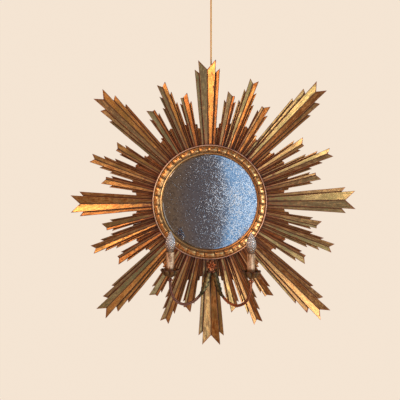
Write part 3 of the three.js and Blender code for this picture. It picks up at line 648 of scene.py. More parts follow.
@dataclass(frozen=True)
class Gilding(Finish):
    """Aged leaf on carved wood or on metal."""

    leaf: Colour
    tarnish: Colour
    bole: Colour
    # The darkest colour: painted shade in hollows, with some real dirt.
    shade_and_grime: Colour
    worn: float = 0.5
    tarnished: float = 0.5
    # How strongly the hollows are darkened: painted shade with some real dirt.
    shade_and_dirt: float = 0.8
    roughness: float = 0.3
    relief: float = 0.0005

    def lay(self, graph: Graph) -> None:
        """Lays aged leaf, with streaks across and along each board, and painted shade in its
        hollows.

        Args:
            graph: the material's graph.
        """
        grain = graph.joined(*(graph.times(graph.value(name), scale) for name, scale
                               in (("across", 0.2), ("along", 0.035), ("tone", 37))))
        leaf = AgedLeaf.put(graph, {
            "Leaf": self.leaf, "Tarnish": self.tarnish, "Bole": self.bole, "Shade_and_Grime": self.shade_and_grime,
            "Edge": graph.value("edge"), "Hollow": graph.value("hollow"),
            "Tone": graph.value("tone"), "Grain": grain, "Worn": self.worn,
            "Tarnished": self.tarnished, "Shade_and_Dirt": self.shade_and_dirt, "Roughness": self.roughness})
        graph.surface({
            "Base Color": leaf["Colour"], "Roughness": leaf["Roughness"],
            "Metallic": leaf["Metallic"], "Normal": graph.bump(leaf["Height"], self.relief)})


@dataclass(frozen=True)
class SilveredGlass(Finish):
    """Old mirror: silvering seen through glass, broken up by fine pale and dark specks."""

    silver: Colour = (0.34, 0.33, 0.35)
    speck: Colour = (1.0, 1.0, 1.0)
    decay: Colour = (0.10, 0.085, 0.09)
    roughness: float = 0.05

    def lay(self, graph: Graph) -> None:
        """Lays the silvering in Object coordinates, with more specks towards the right.

        Args:
            graph: the material's graph.
        """
        place = graph.place()
        x = graph.node("ShaderNodeSeparateXYZ", {0: place}).outputs[0]
        fine = graph.noise(place, 290, 2, 0.7)
        mid = graph.noise(place, 120, 3, 0.7)
        cloud = graph.noise(place, 14, 3)
        aside = graph.spread(x, -0.13, 0.16)
        bright = graph.mask(0.805, 0.925, (fine, 1), (mid, 0.2), (cloud, 0.14), (aside, 0.19))
        dark = graph.mask(0.60, 0.84, (mid, 0.7), (fine, 0.35), (cloud, 0.25))
        colour = graph.mix(dark, self.silver, self.decay)
        colour = graph.mix(bright, colour, self.speck)
        rough = graph.sum((dark, 0.12), (bright, 0.3), (self.roughness, 1.0))
        metal = graph.math("SUBTRACT", 1, graph.times(bright, 0.4))
        graph.surface({
            "Base Color": colour, "Roughness": rough, "Metallic": metal,
            "Normal": graph.bump(mid, 0.00003), "Coat Weight": 0.5, "Coat Roughness": 0.02})


@dataclass(frozen=True)
class PlainMetal(Finish):
    """Brass or steel with a dull, handled surface."""

    metal: Colour
    stain: Colour
    roughness: float = 0.32

    def lay(self, graph: Graph) -> None:
        """Lays clouds of stain and fine scratches.

        Args:
            graph: the material's graph.
        """
        place = graph.place()
        drawn = graph.stretched(place, (1, 1, 0.08))
        scratch = Grain.put(graph, {"Vector": drawn, "Fineness": 900.0})
        cloud = graph.noise(place, 160, 4, 0.6)
        stain = graph.mask(0.45, 0.75, (cloud, 1), (scratch["Pore"], 0.15))
        graph.surface({
            "Base Color": graph.mix(stain, self.metal, self.stain),
            "Roughness": graph.sum((stain, 0.25), (scratch["Streak"], 0.15), (self.roughness, 1.0)),
            "Metallic": 0.9, "Normal": graph.bump(scratch["Streak"], 0.00008)})


@dataclass(frozen=True)
class BareWood(Finish):
    """The unfinished back panel: thin veneer with an open grain."""

    light: Colour = (0.46, 0.31, 0.17)
    dark: Colour = (0.2, 0.11, 0.05)

    def lay(self, graph: Graph) -> None:
        """Lays streaks that run upright, pores and a few stains.

        Args:
            graph: the material's graph.
        """
        place = graph.place()
        drawn = graph.stretched(place, (1, 1, 0.06))
        grain = Grain.put(graph, {"Vector": drawn, "Fineness": 110.0})
        stain = graph.spread(graph.noise(place, 9, 4), 0.5, 0.75)
        share = graph.mask(0.35, 0.85, (grain["Streak"], 1), (stain, 0.3))
        colour = graph.mix(share, self.light, self.dark)
        colour = graph.mix(graph.times(grain["Pore"], 0.6), colour, self.dark)
        graph.surface({
            "Base Color": colour, "Roughness": graph.sum((share, 0.15), (0.68, 1.0)),
            "Normal": graph.bump(grain["Streak"], 0.0002)})


@dataclass(frozen=True)
class CandleTube(Finish):
    """Aged cream tube, browned in patches and darker at its foot."""

    cream: Colour = (0.84, 0.52, 0.32)
    brown: Colour = (0.19, 0.075, 0.025)

    def lay(self, graph: Graph) -> None:
        """Lays upright runs of stain over a soft, slightly waxy ground.

        Args:
            graph: the material's graph.
        """
        place = graph.place()
        runs = graph.noise(graph.stretched(place, (1, 1, 0.3)), 90, 4, 0.65)
        spots = graph.noise(place, 260, 3, 0.7)
        stain = graph.mask(0.72, 1.06, (runs, 1), (spots, 0.7), (graph.value("hollow"), 0.7))
        graph.surface({
            "Base Color": graph.mix(stain, self.cream, self.brown),
            "Roughness": graph.sum((stain, 0.2), (0.42, 1.0)), "Subsurface Weight": 0.08,
            "Subsurface Radius": (0.01, 0.004, 0.002), "Subsurface Scale": 0.5,
            "Normal": graph.bump(graph.sum((runs, 1), (spots, 0.4)), 0.0006)})


@dataclass(frozen=True)
class LampGlass(Finish):
    """Clear twisted glass of a flame-shaped bulb."""

    tint: Colour = (1.0, 0.98, 1.0)
    low: Colour = (0.60, 0.42, 0.31)

    def lay(self, graph: Graph) -> None:
        """Lays faintly milky glass, browned towards the foot and a little dusty.

        Args:
            graph: the material's graph.
        """
        dust = graph.spread(graph.noise(graph.place(), 240, 3), 0.5, 0.8)
        facet = graph.noise(graph.place(), 150, 1)
        graph.surface({
            "Base Color": graph.mix(graph.value("hollow"), self.tint, self.low),
            "Roughness": graph.sum((dust, 0.1), (0.03, 1.0)), "Transmission Weight": 0.75,
            "IOR": 1.45, "Normal": graph.bump(facet, 0.0022)})


@dataclass(frozen=True)
class Moulded(Finish):
    """Dark moulded insulation of a lampholder."""

    colour: Colour = (0.045, 0.038, 0.032)
    dusty: Colour = (0.16, 0.13, 0.1)

    def lay(self, graph: Graph) -> None:
        """Lays a faint mould texture and dust.

        Args:
            graph: the material's graph.
        """
        place = graph.place()
        dust = graph.spread(graph.noise(place, 130, 4), 0.5, 0.8)
        fine = graph.noise(place, 1800, 2)
        graph.surface({
            "Base Color": graph.mix(graph.times(dust, 0.4), self.colour, self.dusty),
            "Roughness": graph.sum((dust, 0.3), (0.38, 1.0)), "Normal": graph.bump(fine, 0.00005)})


@dataclass(frozen=True)
class Twine(Finish):
    """Glossy twisted yarn: fibres that run with each strand, and painted shade in the hollows
    between.
    """

    yarn: Colour = (0.95, 0.50, 0.14)
    shade: Colour = (0.3, 0.13, 0.03)

    def lay(self, graph: Graph) -> None:
        """Lays fibres along the strands, with painted shade between them and some soil.

        Args:
            graph: the material's graph.
        """
        strand = graph.joined(*(graph.value(name) for name in ("across", "along", "tone")))
        fibre = Grain.put(graph, {"Vector": strand, "Fineness": 3.0})
        soil = graph.noise(graph.place(), 60, 3)
        # Painted shade from the hollow values, with fibre streaks and soil, mixes towards the shade
        # colour.
        share = graph.mask(0.45, 1.2, (fibre["Streak"], 0.8), (graph.value("hollow"), 0.6),
                           (soil, 0.3))
        graph.surface({
            "Base Color": graph.mix(share, self.yarn, self.shade),
            "Roughness": graph.sum((fibre["Streak"], 0.2), (0.5, 1.0)), "Sheen Weight": 0.35,
            "Sheen Roughness": 0.4, "Normal": graph.bump(fibre["Streak"], 0.00025)})


# ---------------------------------------------------------------- carved boards


def board_outline(face: int, side: int, back: int, arc: int) -> np.ndarray:
    """Section of a board with rounded corners, once round from its face.

    Each row is (u, du, w, dw): a point lies at u + du * r across and w + dw * s from back
    to face, where r and s are the corner's radius as shares of width and thickness.

    Args:
        face: points across the face.
        side: points down each side.
        back: points across the back.
        arc: points on each corner.

    Returns:
        One row for each point of the section.
    """
    turn = np.linspace(0, np.pi / 2, arc)
    s, c = 1 - np.sin(turn), 1 - np.cos(turn)
    f, d, b = (np.linspace(0, 1, count + 2)[1:-1] for count in (face, side, back))
    f = smooth(0, 1, f)
    parts = [(f, 1 - 2 * f, 1, 0), (1, -s, 1, -c), (1, 0, 1 - d, 2 * d - 1), (1, -c, 0, s),
             (1 - b, 2 * b - 1, 0, 0), (0, s, 0, c), (0, 0, d, 1 - 2 * d), (0, c, 1, -s)]
    return np.concatenate([stacked(*part) for part in parts])


def board_rows(steps: int, arc: int) -> np.ndarray:
    """Places of a board's sections from its root to its end, as rows of (v, dv, inset).

    A section lies at v + dv * r along the board and is drawn in by inset * r, which
    rounds the two ends.

    Args:
        steps: sections between the rounded ends.
        arc: sections in each rounded end.

    Returns:
        One row for each section.
    """
    turn = np.linspace(np.pi / 2, 0, arc)
    s, c = 1 - np.sin(turn), 1 - np.cos(turn)
    t = np.linspace(0, 1, steps + 2)[1:-1]
    parts = [(0 * t[:1], s, c), (t, 1 - 2 * t, 0 * t), (0 * t[:1] + 1, -s[::-1], c[::-1])]
    return np.concatenate([stacked(*part) for part in parts])


def eighths() -> list[tuple[int, int]]:
    """The eight repeats: the clock angle where each starts, and 1 as drawn or -1 mirrored."""
    return [(start + 90 * (hand < 0), hand) for start in (0, 90, 180, 270) for hand in (1, -1)]


@dataclass(frozen=True)
class Carving:
    """How boards are carved: rounded edges, a wandering outline and gouge marks.

    outline and rows give the sections, root says how worn the root is and how much painted shade
    from the ring falls on it, and the fades are lengths over which that wear and that painted shade
    fade out.
    """

    outline: np.ndarray
    rows: np.ndarray
    rounding: float = 0.9
    wander: float = 0.4
    gouge: float = 0.35
    # Width of the painted shade along each board's inner edge.
    seam: float = 2.8
    root: float = 0.3
    edge_fade: float = 1.3
    wear_fade: float = 70.0
    root_shade_fade: float = 50.0
    wide: Ripple = Ripple(3, 140, 24)
    narrow: Ripple = Ripple(5, 22, 5)

    def cut(self, form: Form, corners: list[Point], back: float, degrees: float,
            tone: float, shade: float = 0) -> None:
        """Adds one board to a form.

        A point is a blend of the four corners by its shares u across and v along, and
        stands w of the way from the back to the face. The face sinks by the gouge marks,
        waves drawn out along the board.

        Args:
            form: takes the board.
            corners: inner root, outer root, outer end and inner end, each x, y and the
                distance of the face from the wall, with the board's length along y.
            back: distance of its back from the wall, in mm.
            degrees: clock angle that the board is turned to.
            tone: its own random shade, 0 to 1.
            shade: extra painted shade all over.
        """
        inner0, outer0, outer1, inner1 = ends = np.array(corners, float)
        length = np.linalg.norm(((inner1 + outer1) - (inner0 + outer0))[:2]) / 2
        base, slope, inset = self.rows.T[:, :, None]
        v = base + slope * self.rounding / length
        width = np.linalg.norm((1 - v) * (outer0 - inner0)[:2] + v * (outer1 - inner1)[:2],
                               axis=1)
        thick = ((1 - v) * (inner0 + outer0)[2] + v * (inner1 + outer1)[2]) / 2 - back
        r, s = self.rounding / width[:, None], self.rounding / thick
        u0, du, w0, dw = self.outline.T[:, None]
        u = inset * r + (u0 + du * r) * (1 - 2 * inset * r)
        w = inset * s + (w0 + dw * s) * (1 - 2 * inset * s)
        shares = [(1 - u) * (1 - v), u * (1 - v), u * v, (1 - u) * v]
        points = sum(share[..., None] * corner for share, corner in zip(shares, ends))
        top = points[..., 2]
        local = stacked(points[..., 0] + 61 * tone, points[..., 1], top + degrees)
        face = smooth(0.75, 0.97, w)
        points[..., 2] = back + w * (top - back)
        marks = self.wide(local, (0.3, 1.2, 1)) * 0.6 + self.narrow(local, (0.5, 2.5, 1)) * 0.5
        from_end = np.minimum(v, 1 - v) * length
        points[..., 2] -= self.gouge * face * (0.6 + marks) * smooth(0, 2.5, from_end)
        points[..., 0] += self.wander * self.wide(local + 300) * smooth(0, 0.1, v)
        rim = np.minimum(np.minimum(u, 1 - u) * width[:, None], from_end)
        seam = np.minimum(self.seam, 0.17 * width)[:, None]
        bare = smooth(0.12, 0.02, w)
        edge = (np.exp(-rim / self.edge_fade) * smooth(0.6, 0.95, w)
                + self.root * 0.8 * np.exp(-v * length / self.wear_fade) + 2.5 * bare)
        # Painted shade: along the inner edge where a board tucks under its neighbour, in the ring's
        # shadow near the root, down the sides and on lower steps; little on the back.
        hollow = (1.1 * np.exp(-u * width[:, None] / seam)
                  + self.root * 0.5 * np.exp(-v * length / self.root_shade_fade)
                  + 0.9 * (1 - smooth(0.2, 1, w)) + shade) * (1 - 0.8 * bare)
        form.add(turned(points, degrees), edge=edge, hollow=hollow, tone=tone,
                 along=points[..., 1] + 900 * tone, across=points[..., 0])


@dataclass(frozen=True)
class Blade:
    """One blade or step beside a ray's axis.

    near is its half-width at the ring, as an angle in degrees, and far at its end, in mm.
    inner and tip are the lengths of its inner and outer edges from the ring.
    """

    near: float
    far: float
    inner: float
    tip: float

    def edge(self, root: float, length: float) -> float:
        """Half-width at a length along the ray, on a straight line from near to far."""
        near = root * np.tan(np.radians(self.near))
        return near + (self.far - near) * length / self.tip


CARDINAL = (Blade(3.54, 32.9, 284, 318), Blade(6.79, 47, 271, 285))
DIAGONAL = (Blade(2.62, 25, 350, 378), Blade(3.98, 41, 319, 328), Blade(7.06, 46.5, 270, 276))
MEDIUM = (Blade(1.99, 16.6, 255, 269.5), Blade(3.27, 24.3, 217, 227), Blade(5.71, 29.7, 176, 184))
SHORT_WIDE = (Blade(2.78, 20, 191, 205), Blade(4.09, 27.2, 163, 173))
SHORT_NARROW = (Blade(1.31, 9.2, 191, 192), Blade(2.05, 16.2, 167, 174))


@dataclass(frozen=True)
class Spoke:
    """A ray of one eighth: its kind, clock angle and the blades on its two sides."""

    family: Family
    angle: float
    inward: tuple[Blade, ...]
    outward: tuple[Blade, ...]


EIGHTH = (Spoke(Family.CARDINAL, 0, CARDINAL, CARDINAL),
          Spoke(Family.SHORT, 13.3, SHORT_WIDE, SHORT_NARROW),
          Spoke(Family.MEDIUM, 21.3, MEDIUM, MEDIUM),
          Spoke(Family.SHORT, 31, SHORT_NARROW, SHORT_WIDE),
          Spoke(Family.DIAGONAL, 45, DIAGONAL, DIAGONAL))


@dataclass
class Sunburst:
    """The thirty-two rays, each a valley of two blades with steps beside them.

    Blades start at root, their distance from the glass's middle, and shade is the extra painted
    shade of each lower, deeper step.
    """

    root: float
    back: float = 14.3
    blade_top: float = 31.0
    step_tops: tuple[float, ...] = (26.0, 22.5)
    step_fall: float = 3.5
    valley_slope: float = 0.27
    lap: float = 0.6
    shade: float = 0.12
    seed: int = 11

    def half(self, blades: tuple[Blade, ...], side: int) -> list[list[Point]]:
        """Corners of the blades and steps on one side of the axis.

        Args:
            blades: the blade and then its steps.
            side: -1 to the left of the axis, 1 to the right.

        Returns:
            Four corners for each, as Carving.cut takes them.
        """
        boards = []
        for level, blade in enumerate(blades):
            top = self.step_tops[level - 1] if level else self.blade_top
            width = [blade.edge(self.root, length) for length in (0, blade.inner)]
            fall = [self.step_fall if level else self.valley_slope * part for part in width]
            inner = [(blades[level - 1].edge(self.root, length) if level else 0) - self.lap
                     for length in (0, blade.inner)]
            boards.append([(side * inner[0], self.root, top - fall[0]),
                           (side * width[0], self.root, top),
                           (side * blade.far, self.root + blade.tip, top),
                           (side * inner[1], self.root + blade.inner, top - fall[1])])
        return boards

    def build(self, finish: Material) -> None:
        """Makes every ray as a piece of its own.

        Args:
            finish: the leaf on all of them.
        """
        draw = np.random.default_rng(self.seed)
        carving = Carving(board_outline(9, 3, 2, 4), board_rows(34, 4))
        counts = {family: 0 for family in Family}
        for start, hand in eighths():
            for spoke in EIGHTH:
                if hand < 0 and spoke.family in (Family.CARDINAL, Family.DIAGONAL):
                    continue
                counts[spoke.family] += 1
                degrees = start + hand * spoke.angle
                left, right = (spoke.inward, spoke.outward)[::hand]
                form = Form()
                for side, blades in ((-1, left), (1, right)):
                    for level, corners in enumerate(self.half(blades, side)):
                        carving.cut(form, corners, self.back, degrees, draw.uniform(),
                                    self.shade * level)
                name = f"{spoke.family.value}_{counts[spoke.family]}"
                form.piece(f"carved_{name}", finish, "gilded_ray", replaces=(f"ray_{name}",))


@dataclass
class Collar:
    """The round board behind the rays, with slats in the spaces between them.

    Each space of an eighth has a row of slats, given by the share of the space where each
    ends and by its length.
    """

    root: float
    opening: float
    radius: float
    thickness: float = 14.0
    rabbet: float = 11.0
    recess: Pair = (43.0, 9.1)
    slat_top: float = 19.0
    slat_back: float = 11.0
    slat_fall: float = 3.5
    play: float = -0.4
    lap: float = 0.06
    # Extra painted shade on the slats, which lie deeper than the rays.
    shade: float = 0.1
    seed: int = 23
    slats: tuple[tuple[Pair, ...], ...] = (
        ((0.31, 67), (0.62, 69), (0.8, 84), (1, 86)), ((0.5, 91), (1, 93)),
        ((0.26, 99), (0.5, 102), (0.75, 101), (1, 99)),
        ((0.22, 88), (0.45, 90), (0.72, 80), (1, 78)))

    def board(self, form: Form) -> None:
        """Adds the board: a ring turned about the out axis, with a recess behind.

        Args:
            form: takes the board.
        """
        width, depth = self.recess
        inner, outer = self.opening, self.radius
        profile = fillet([(inner, self.rabbet), (inner, depth), (inner + width, depth),
                          (inner + width, 0), (outer, 0), (outer, self.thickness),
                          (inner, self.thickness), (inner, self.rabbet)], 1.2)[:-1]
        grid = lathe(profile, 240)
        # The whole board is painted in shade: it lies deep behind the rays and slats.
        form.add(grid, ring=True, edge=0, hollow=1.1, tone=0.5, along=grid[..., 1],
                 across=grid[..., 0])

    def beside(self, spoke: Spoke, side: int, length: float) -> np.ndarray:
        """Finds a place just inside a ray's outer edge, where a slat meets it.

        Args:
            spoke: the ray.
            side: -1 for its left edge, 1 for its right.
            length: how far along the ray.

        Returns:
            The place, in the face frame.
        """
        widest = (spoke.outward if side > 0 else spoke.inward)[-1]
        width = side * (widest.edge(self.root, length) + self.play)
        return turned(np.array([width, self.root + length, 0]), spoke.angle)

    def corners(self) -> list[list[Point]]:
        """Places the slats of the first eighth, which slope by turns to one side and the other.

        Returns:
            Four corners for each, as Carving.cut takes them.
        """
        slats = []
        for before, after, parts in zip(EIGHTH[:-1], EIGHTH[1:], self.slats):
            start = 0.0
            for end, length in parts:
                tops = (self.slat_top - self.slat_fall, self.slat_top)
                low, high = reversed(tops) if len(slats) % 2 else tops
                slat = []
                for share, run, top in ((start, 0, low), (end, 0, high), (end, length, high),
                                        (start, length, low)):
                    first, second = self.beside(before, 1, run), self.beside(after, -1, run)
                    x, y, _ = first + (second - first) * share
                    slat.append((x, y, top))
                slats.append(slat)
                start = end - self.lap
        return slats

    def build(self, finish: Material) -> None:
        """Makes the collar as one piece.

        Args:
            finish: the worn leaf on all of it.
        """
        form = Form()
        self.board(form)
        draw = np.random.default_rng(self.seed)
        carving = Carving(board_outline(5, 2, 1, 3), board_rows(14, 3), gouge=0.5, root=0.15)
        corners = self.corners()
        for start, hand in eighths():
            for places in corners:
                placed = [(hand * x, y, top) for x, y, top in places]
                carving.cut(form, placed, self.slat_back, start, draw.uniform(), self.shade)
        form.piece("collar", finish, "dark_collar", replaces=("collar_board",))


# ---------------------------------------------------------------- ring, glass and back


@dataclass
class Ring:
    """The carved ring of lobes round the glass.

    Along a lobe the crown is the share where it stands highest. cut is the depth between
    two lobes, and notch that of the nick in the outer half of each.
    """

    rim: float
    lobes: int = 35
    opening: float = 185.0
    sight: float = 178.0
    lobe_start: float = 184.7
    lobe_width: float = 20.5
    crown: float = 0.35
    top: float = 40.0
    height: float = 12.0
    cut: float = 6.5
    notch: float = 2.2
    back: float = 14.3
    foot: float = 17.0
    around: int = 30
    bead: float = 1.7
    bead_out: float = 35.6

    def build(self, finish: Material, pale: Material) -> None:
        """Makes the ring, and the pale bead on its rim.

        A section's height over the lobes rises as a quarter sine to the crown and falls
        half as far outside it. Round the ring each lobe swells as the root of
        1 - |2p|^2.6, where p is the share of a lobe from its middle, and a narrow bell cuts
        a notch into the middle of its outer half.

        Args:
            finish: the leaf on the ring.
            pale: the pale leaf on the bead, painted as a highlight line.
        """
        count = self.lobes * self.around
        angle = circle(count).T
        wobble = 0.05 * np.sin(angle * 9 + 1) + 0.04 * np.sin(angle * 23)
        phase = (angle * self.lobes / TURN + wobble) % 1 - 0.5
        sight = fillet([(self.opening, self.foot), (self.opening, 20), (self.sight, 20),
                        (self.sight, 23), (self.sight + 3, 25.6), (self.lobe_start, 27.6)], 1.0)
        outer = fillet([(self.rim - 6.4, 31), (self.rim - 5.2, 30.4), (self.rim - 4.3, 35.6),
                        (self.rim - 2.4, 36), (self.rim, 34.4), (self.rim, 31.6),
                        (self.rim - 2.5, 31.6), (self.rim - 2.5, self.back),
                        (self.opening, self.back), (self.opening, self.foot)], 0.9)[:-1]
        q = np.linspace(0, 1, 24)
        reach = np.where(q < self.crown, q / self.crown, (1 - q) / (1 - self.crown))
        fall = self.height * np.where(q < self.crown, 1, 0.5)
        crest = self.top - fall * (1 - np.sin(np.pi / 2 * reach))
        swell = np.sqrt(1 - np.abs(2 * phase) ** 2.6)
        ends = np.sin(np.pi * np.clip(q * 0.94 + 0.04, 0, 1)) ** 0.35
        notch = self.notch * bell(phase, 0, 0.085) * smooth(0.42, 0.68, q)
        relief = crest - self.cut * (1 - swell) * ends - notch
        lobe_radius = self.lobe_start + q * self.lobe_width
        radius = np.concatenate([sight[:, 0], lobe_radius, outer[:, 0]])
        plain = [np.broadcast_to(part[:, 1], (count, len(part))) for part in (sight, outer)]
        out = np.concatenate([plain[0], relief, plain[1]], axis=1)
        grid = polar(radius[None], angle, out)
        grid[..., 2] += 0.35 * Ripple(8, 60, 6)(grid) * smooth(22, 30, out)
        high = np.concatenate([0 * sight[:, 0], 0 * q + 1, 0 * outer[:, 0] + 0.6])
        # Painted shade between the lobes, in their notches and grooves, down the rim's outer wall
        # and towards the sight edge.
        depth = np.concatenate([0 * plain[0], (crest - relief) / 5, 0 * plain[1]], axis=1)
        groove = bell(radius, self.rim - 6, 1.8) + bell(radius, self.lobe_start, 1.6)
        behind = ((radius > self.rim - 3) * smooth(33.5, 31, out)
                  + 0.35 * smooth(self.lobe_start, self.sight + 4, radius))
        form = Form()
        form.add(grid, ring=True, edge=high * smooth(0.5, 0, depth) * 0.8,
                 hollow=np.clip(depth, 0, 1) * 1.1 + 0.9 * groove + behind, tone=0.5,
                 along=angle * radius[None] * 6, across=np.broadcast_to(radius, out.shape))
        form.piece("lobed_ring", finish, "gilded_ring", replaces=("carved_ring",))
        self.rim_bead(pale)

    def rim_bead(self, pale: Material) -> None:
        """Makes the bead: a circle of its radius carried round the rim.

        Args:
            pale: its finish, pale as a painted highlight line.
        """
        around, section = circle(420).T, circle(12)
        grid = polar(self.rim - 2 + self.bead * np.cos(section), around,
                     self.bead_out + self.bead * np.sin(section))
        form = Form().add(grid, ring=True, edge=0.3, hollow=0.1, tone=0.3,
                          along=around * self.rim, across=section)
        form.piece("rim_bead", pale, "gilded_ring")


@dataclass
class Glass:
    """The round mirror with its narrow bevel."""

    radius: float
    back: float = 15.7
    front: float = 19.7
    edge: float = 1.6
    bevel: float = 12.0

    def build(self, finish: Material) -> None:
        """Makes the glass: a disc turned about the out axis.

        Args:
            finish: the silvering.
        """
        profile = [(1, self.back), (self.radius, self.back), (self.radius, self.back + self.edge),
                   (self.radius - self.bevel, self.front), (self.radius * 0.5, self.front),
                   (1, self.front)]
        form = Form().add(lathe(fillet(profile, 0.5, 3), 240))
        form.piece("silvered_glass", finish, "aged_mirror", replaces=("mirror_glass",))


def slab(low: Pair, high: Pair, corner: float, back: float, front: float, rounding: float,
         sides: int = 48) -> np.ndarray:
    """A flat plate with round corners and rounded edges.

    At a clock angle a the outline is the corner's centre plus corner * (sin a, cos a).
    Sections run from the back to the front and are drawn in towards both faces.

    Args:
        low: its left lower corner.
        high: its right upper corner.
        corner: radius of its corners.
        back: distance of its back from the wall.
        front: distance of its front from the wall.
        rounding: radius of its edges.
        sides: points round the outline.

    Returns:
        The grid of points.
    """
    angle = (np.arange(sides) + 0.5) / sides * TURN
    centre_x = np.where(np.sin(angle) > 0, high[0] - corner, low[0] + corner)
    centre_y = np.where(np.cos(angle) > 0, high[1] - corner, low[1] + corner)
    turn = np.linspace(0, np.pi / 2, 4)
    inset = np.concatenate([1 - np.sin(turn), 1 - np.sin(turn[::-1])]) * rounding
    lift = (1 - np.cos(turn)) * rounding
    rise = np.concatenate([back + lift, front - lift[::-1]])
    reach = corner - inset[:, None]
    return stacked(centre_x + reach * np.sin(angle), centre_y + reach * np.cos(angle),
                   rise[:, None])


def screw_head(radius: float, foot: float, rise: float) -> np.ndarray:
    """A domed screw head with a slot, about the origin.

    Its height falls with the square of the radius, and a narrow trough runs across it.

    Args:
        radius: of the head.
        foot: its foot's distance from the wall.
        rise: how far it stands out of its foot, negative towards the wall.

    Returns:
        The grid of points.
    """
    angle = circle(64)
    reach = np.concatenate([[0.02], np.linspace(0.1, 0.96, 14), [1, 1]])[:, None] * radius
    height = 1 - 0.5 * (reach / radius) ** 2
    height[-1] = -0.3
    slot = 1 - smooth(0.09, 0.15, np.abs(reach * np.sin(angle + 0.7)) / radius)
    return polar(reach, angle, foot + rise * (height - 0.45 * slot * (height > 0)))


@dataclass
class Backing:
    """The panel behind the glass and the turn buttons that hold it."""

    opening: float
    recess: float = 9.1
    gap: float = 0.3
    seat: float = 18.0
    reach: float = 21.0
    tail: float = 9.0
    width: float = 13.0
    thickness: float = 3.0
    head: float = 3.6
    shank: float = 1.7

    def build(self, panel: Material, brass: Material) -> None:
        """Finishes the panel and makes the four buttons, each on its own body.

        Args:
            panel: the bare wood of the panel.
            brass: the buttons' finish.
        """
        bpy.data.objects["back_panel"].material_slots[0].material = panel
        front = self.recess - self.gap
        back = front - self.thickness
        half = self.width / 2
        pivot = self.opening + self.seat
        for number in range(4):
            form = Form()
            plate = slab((-half, -self.reach), (half, self.tail), half, back, front, 0.5)
            head = screw_head(self.head, back, -1.6)
            shank = lathe(np.array([(self.shank, back + 0.5), (self.shank, self.recess + 3)]), 16)
            for grid in (plate, head, shank):
                form.add(turned(grid + np.array([0, pivot, 0]), 45 + 90 * number), hollow=0)
            name = f"button_{number + 1}"
            form.piece(f"brass_{name}", brass, "brass", body=name, replaces=(f"turn_{name}",))


# ---------------------------------------------------------------- hanging


def wound(path: Path, count: int, reach: float, turns: float) -> list[Path]:
    """Lines wound round a path, as the strands of a cord.

    At a share t of the path each line stands reach away from it, at an angle of turns * t
    full turns and its own share of one.

    Args:
        path: the middle line.
        count: how many lines.
        reach: their distance from it.
        turns: how many times each goes round.

    Returns:
        The lines.
    """
    across, over = path.axes()
    t = np.linspace(0, 1, len(path.points), endpoint=not path.closed)
    lines = []
    for number in range(count):
        angle = (TURN * (turns * t + number / count))[:, None]
        away = reach * (np.cos(angle) * across + np.sin(angle) * over)
        lines.append(Path(path.points + away, path.closed))
    return lines


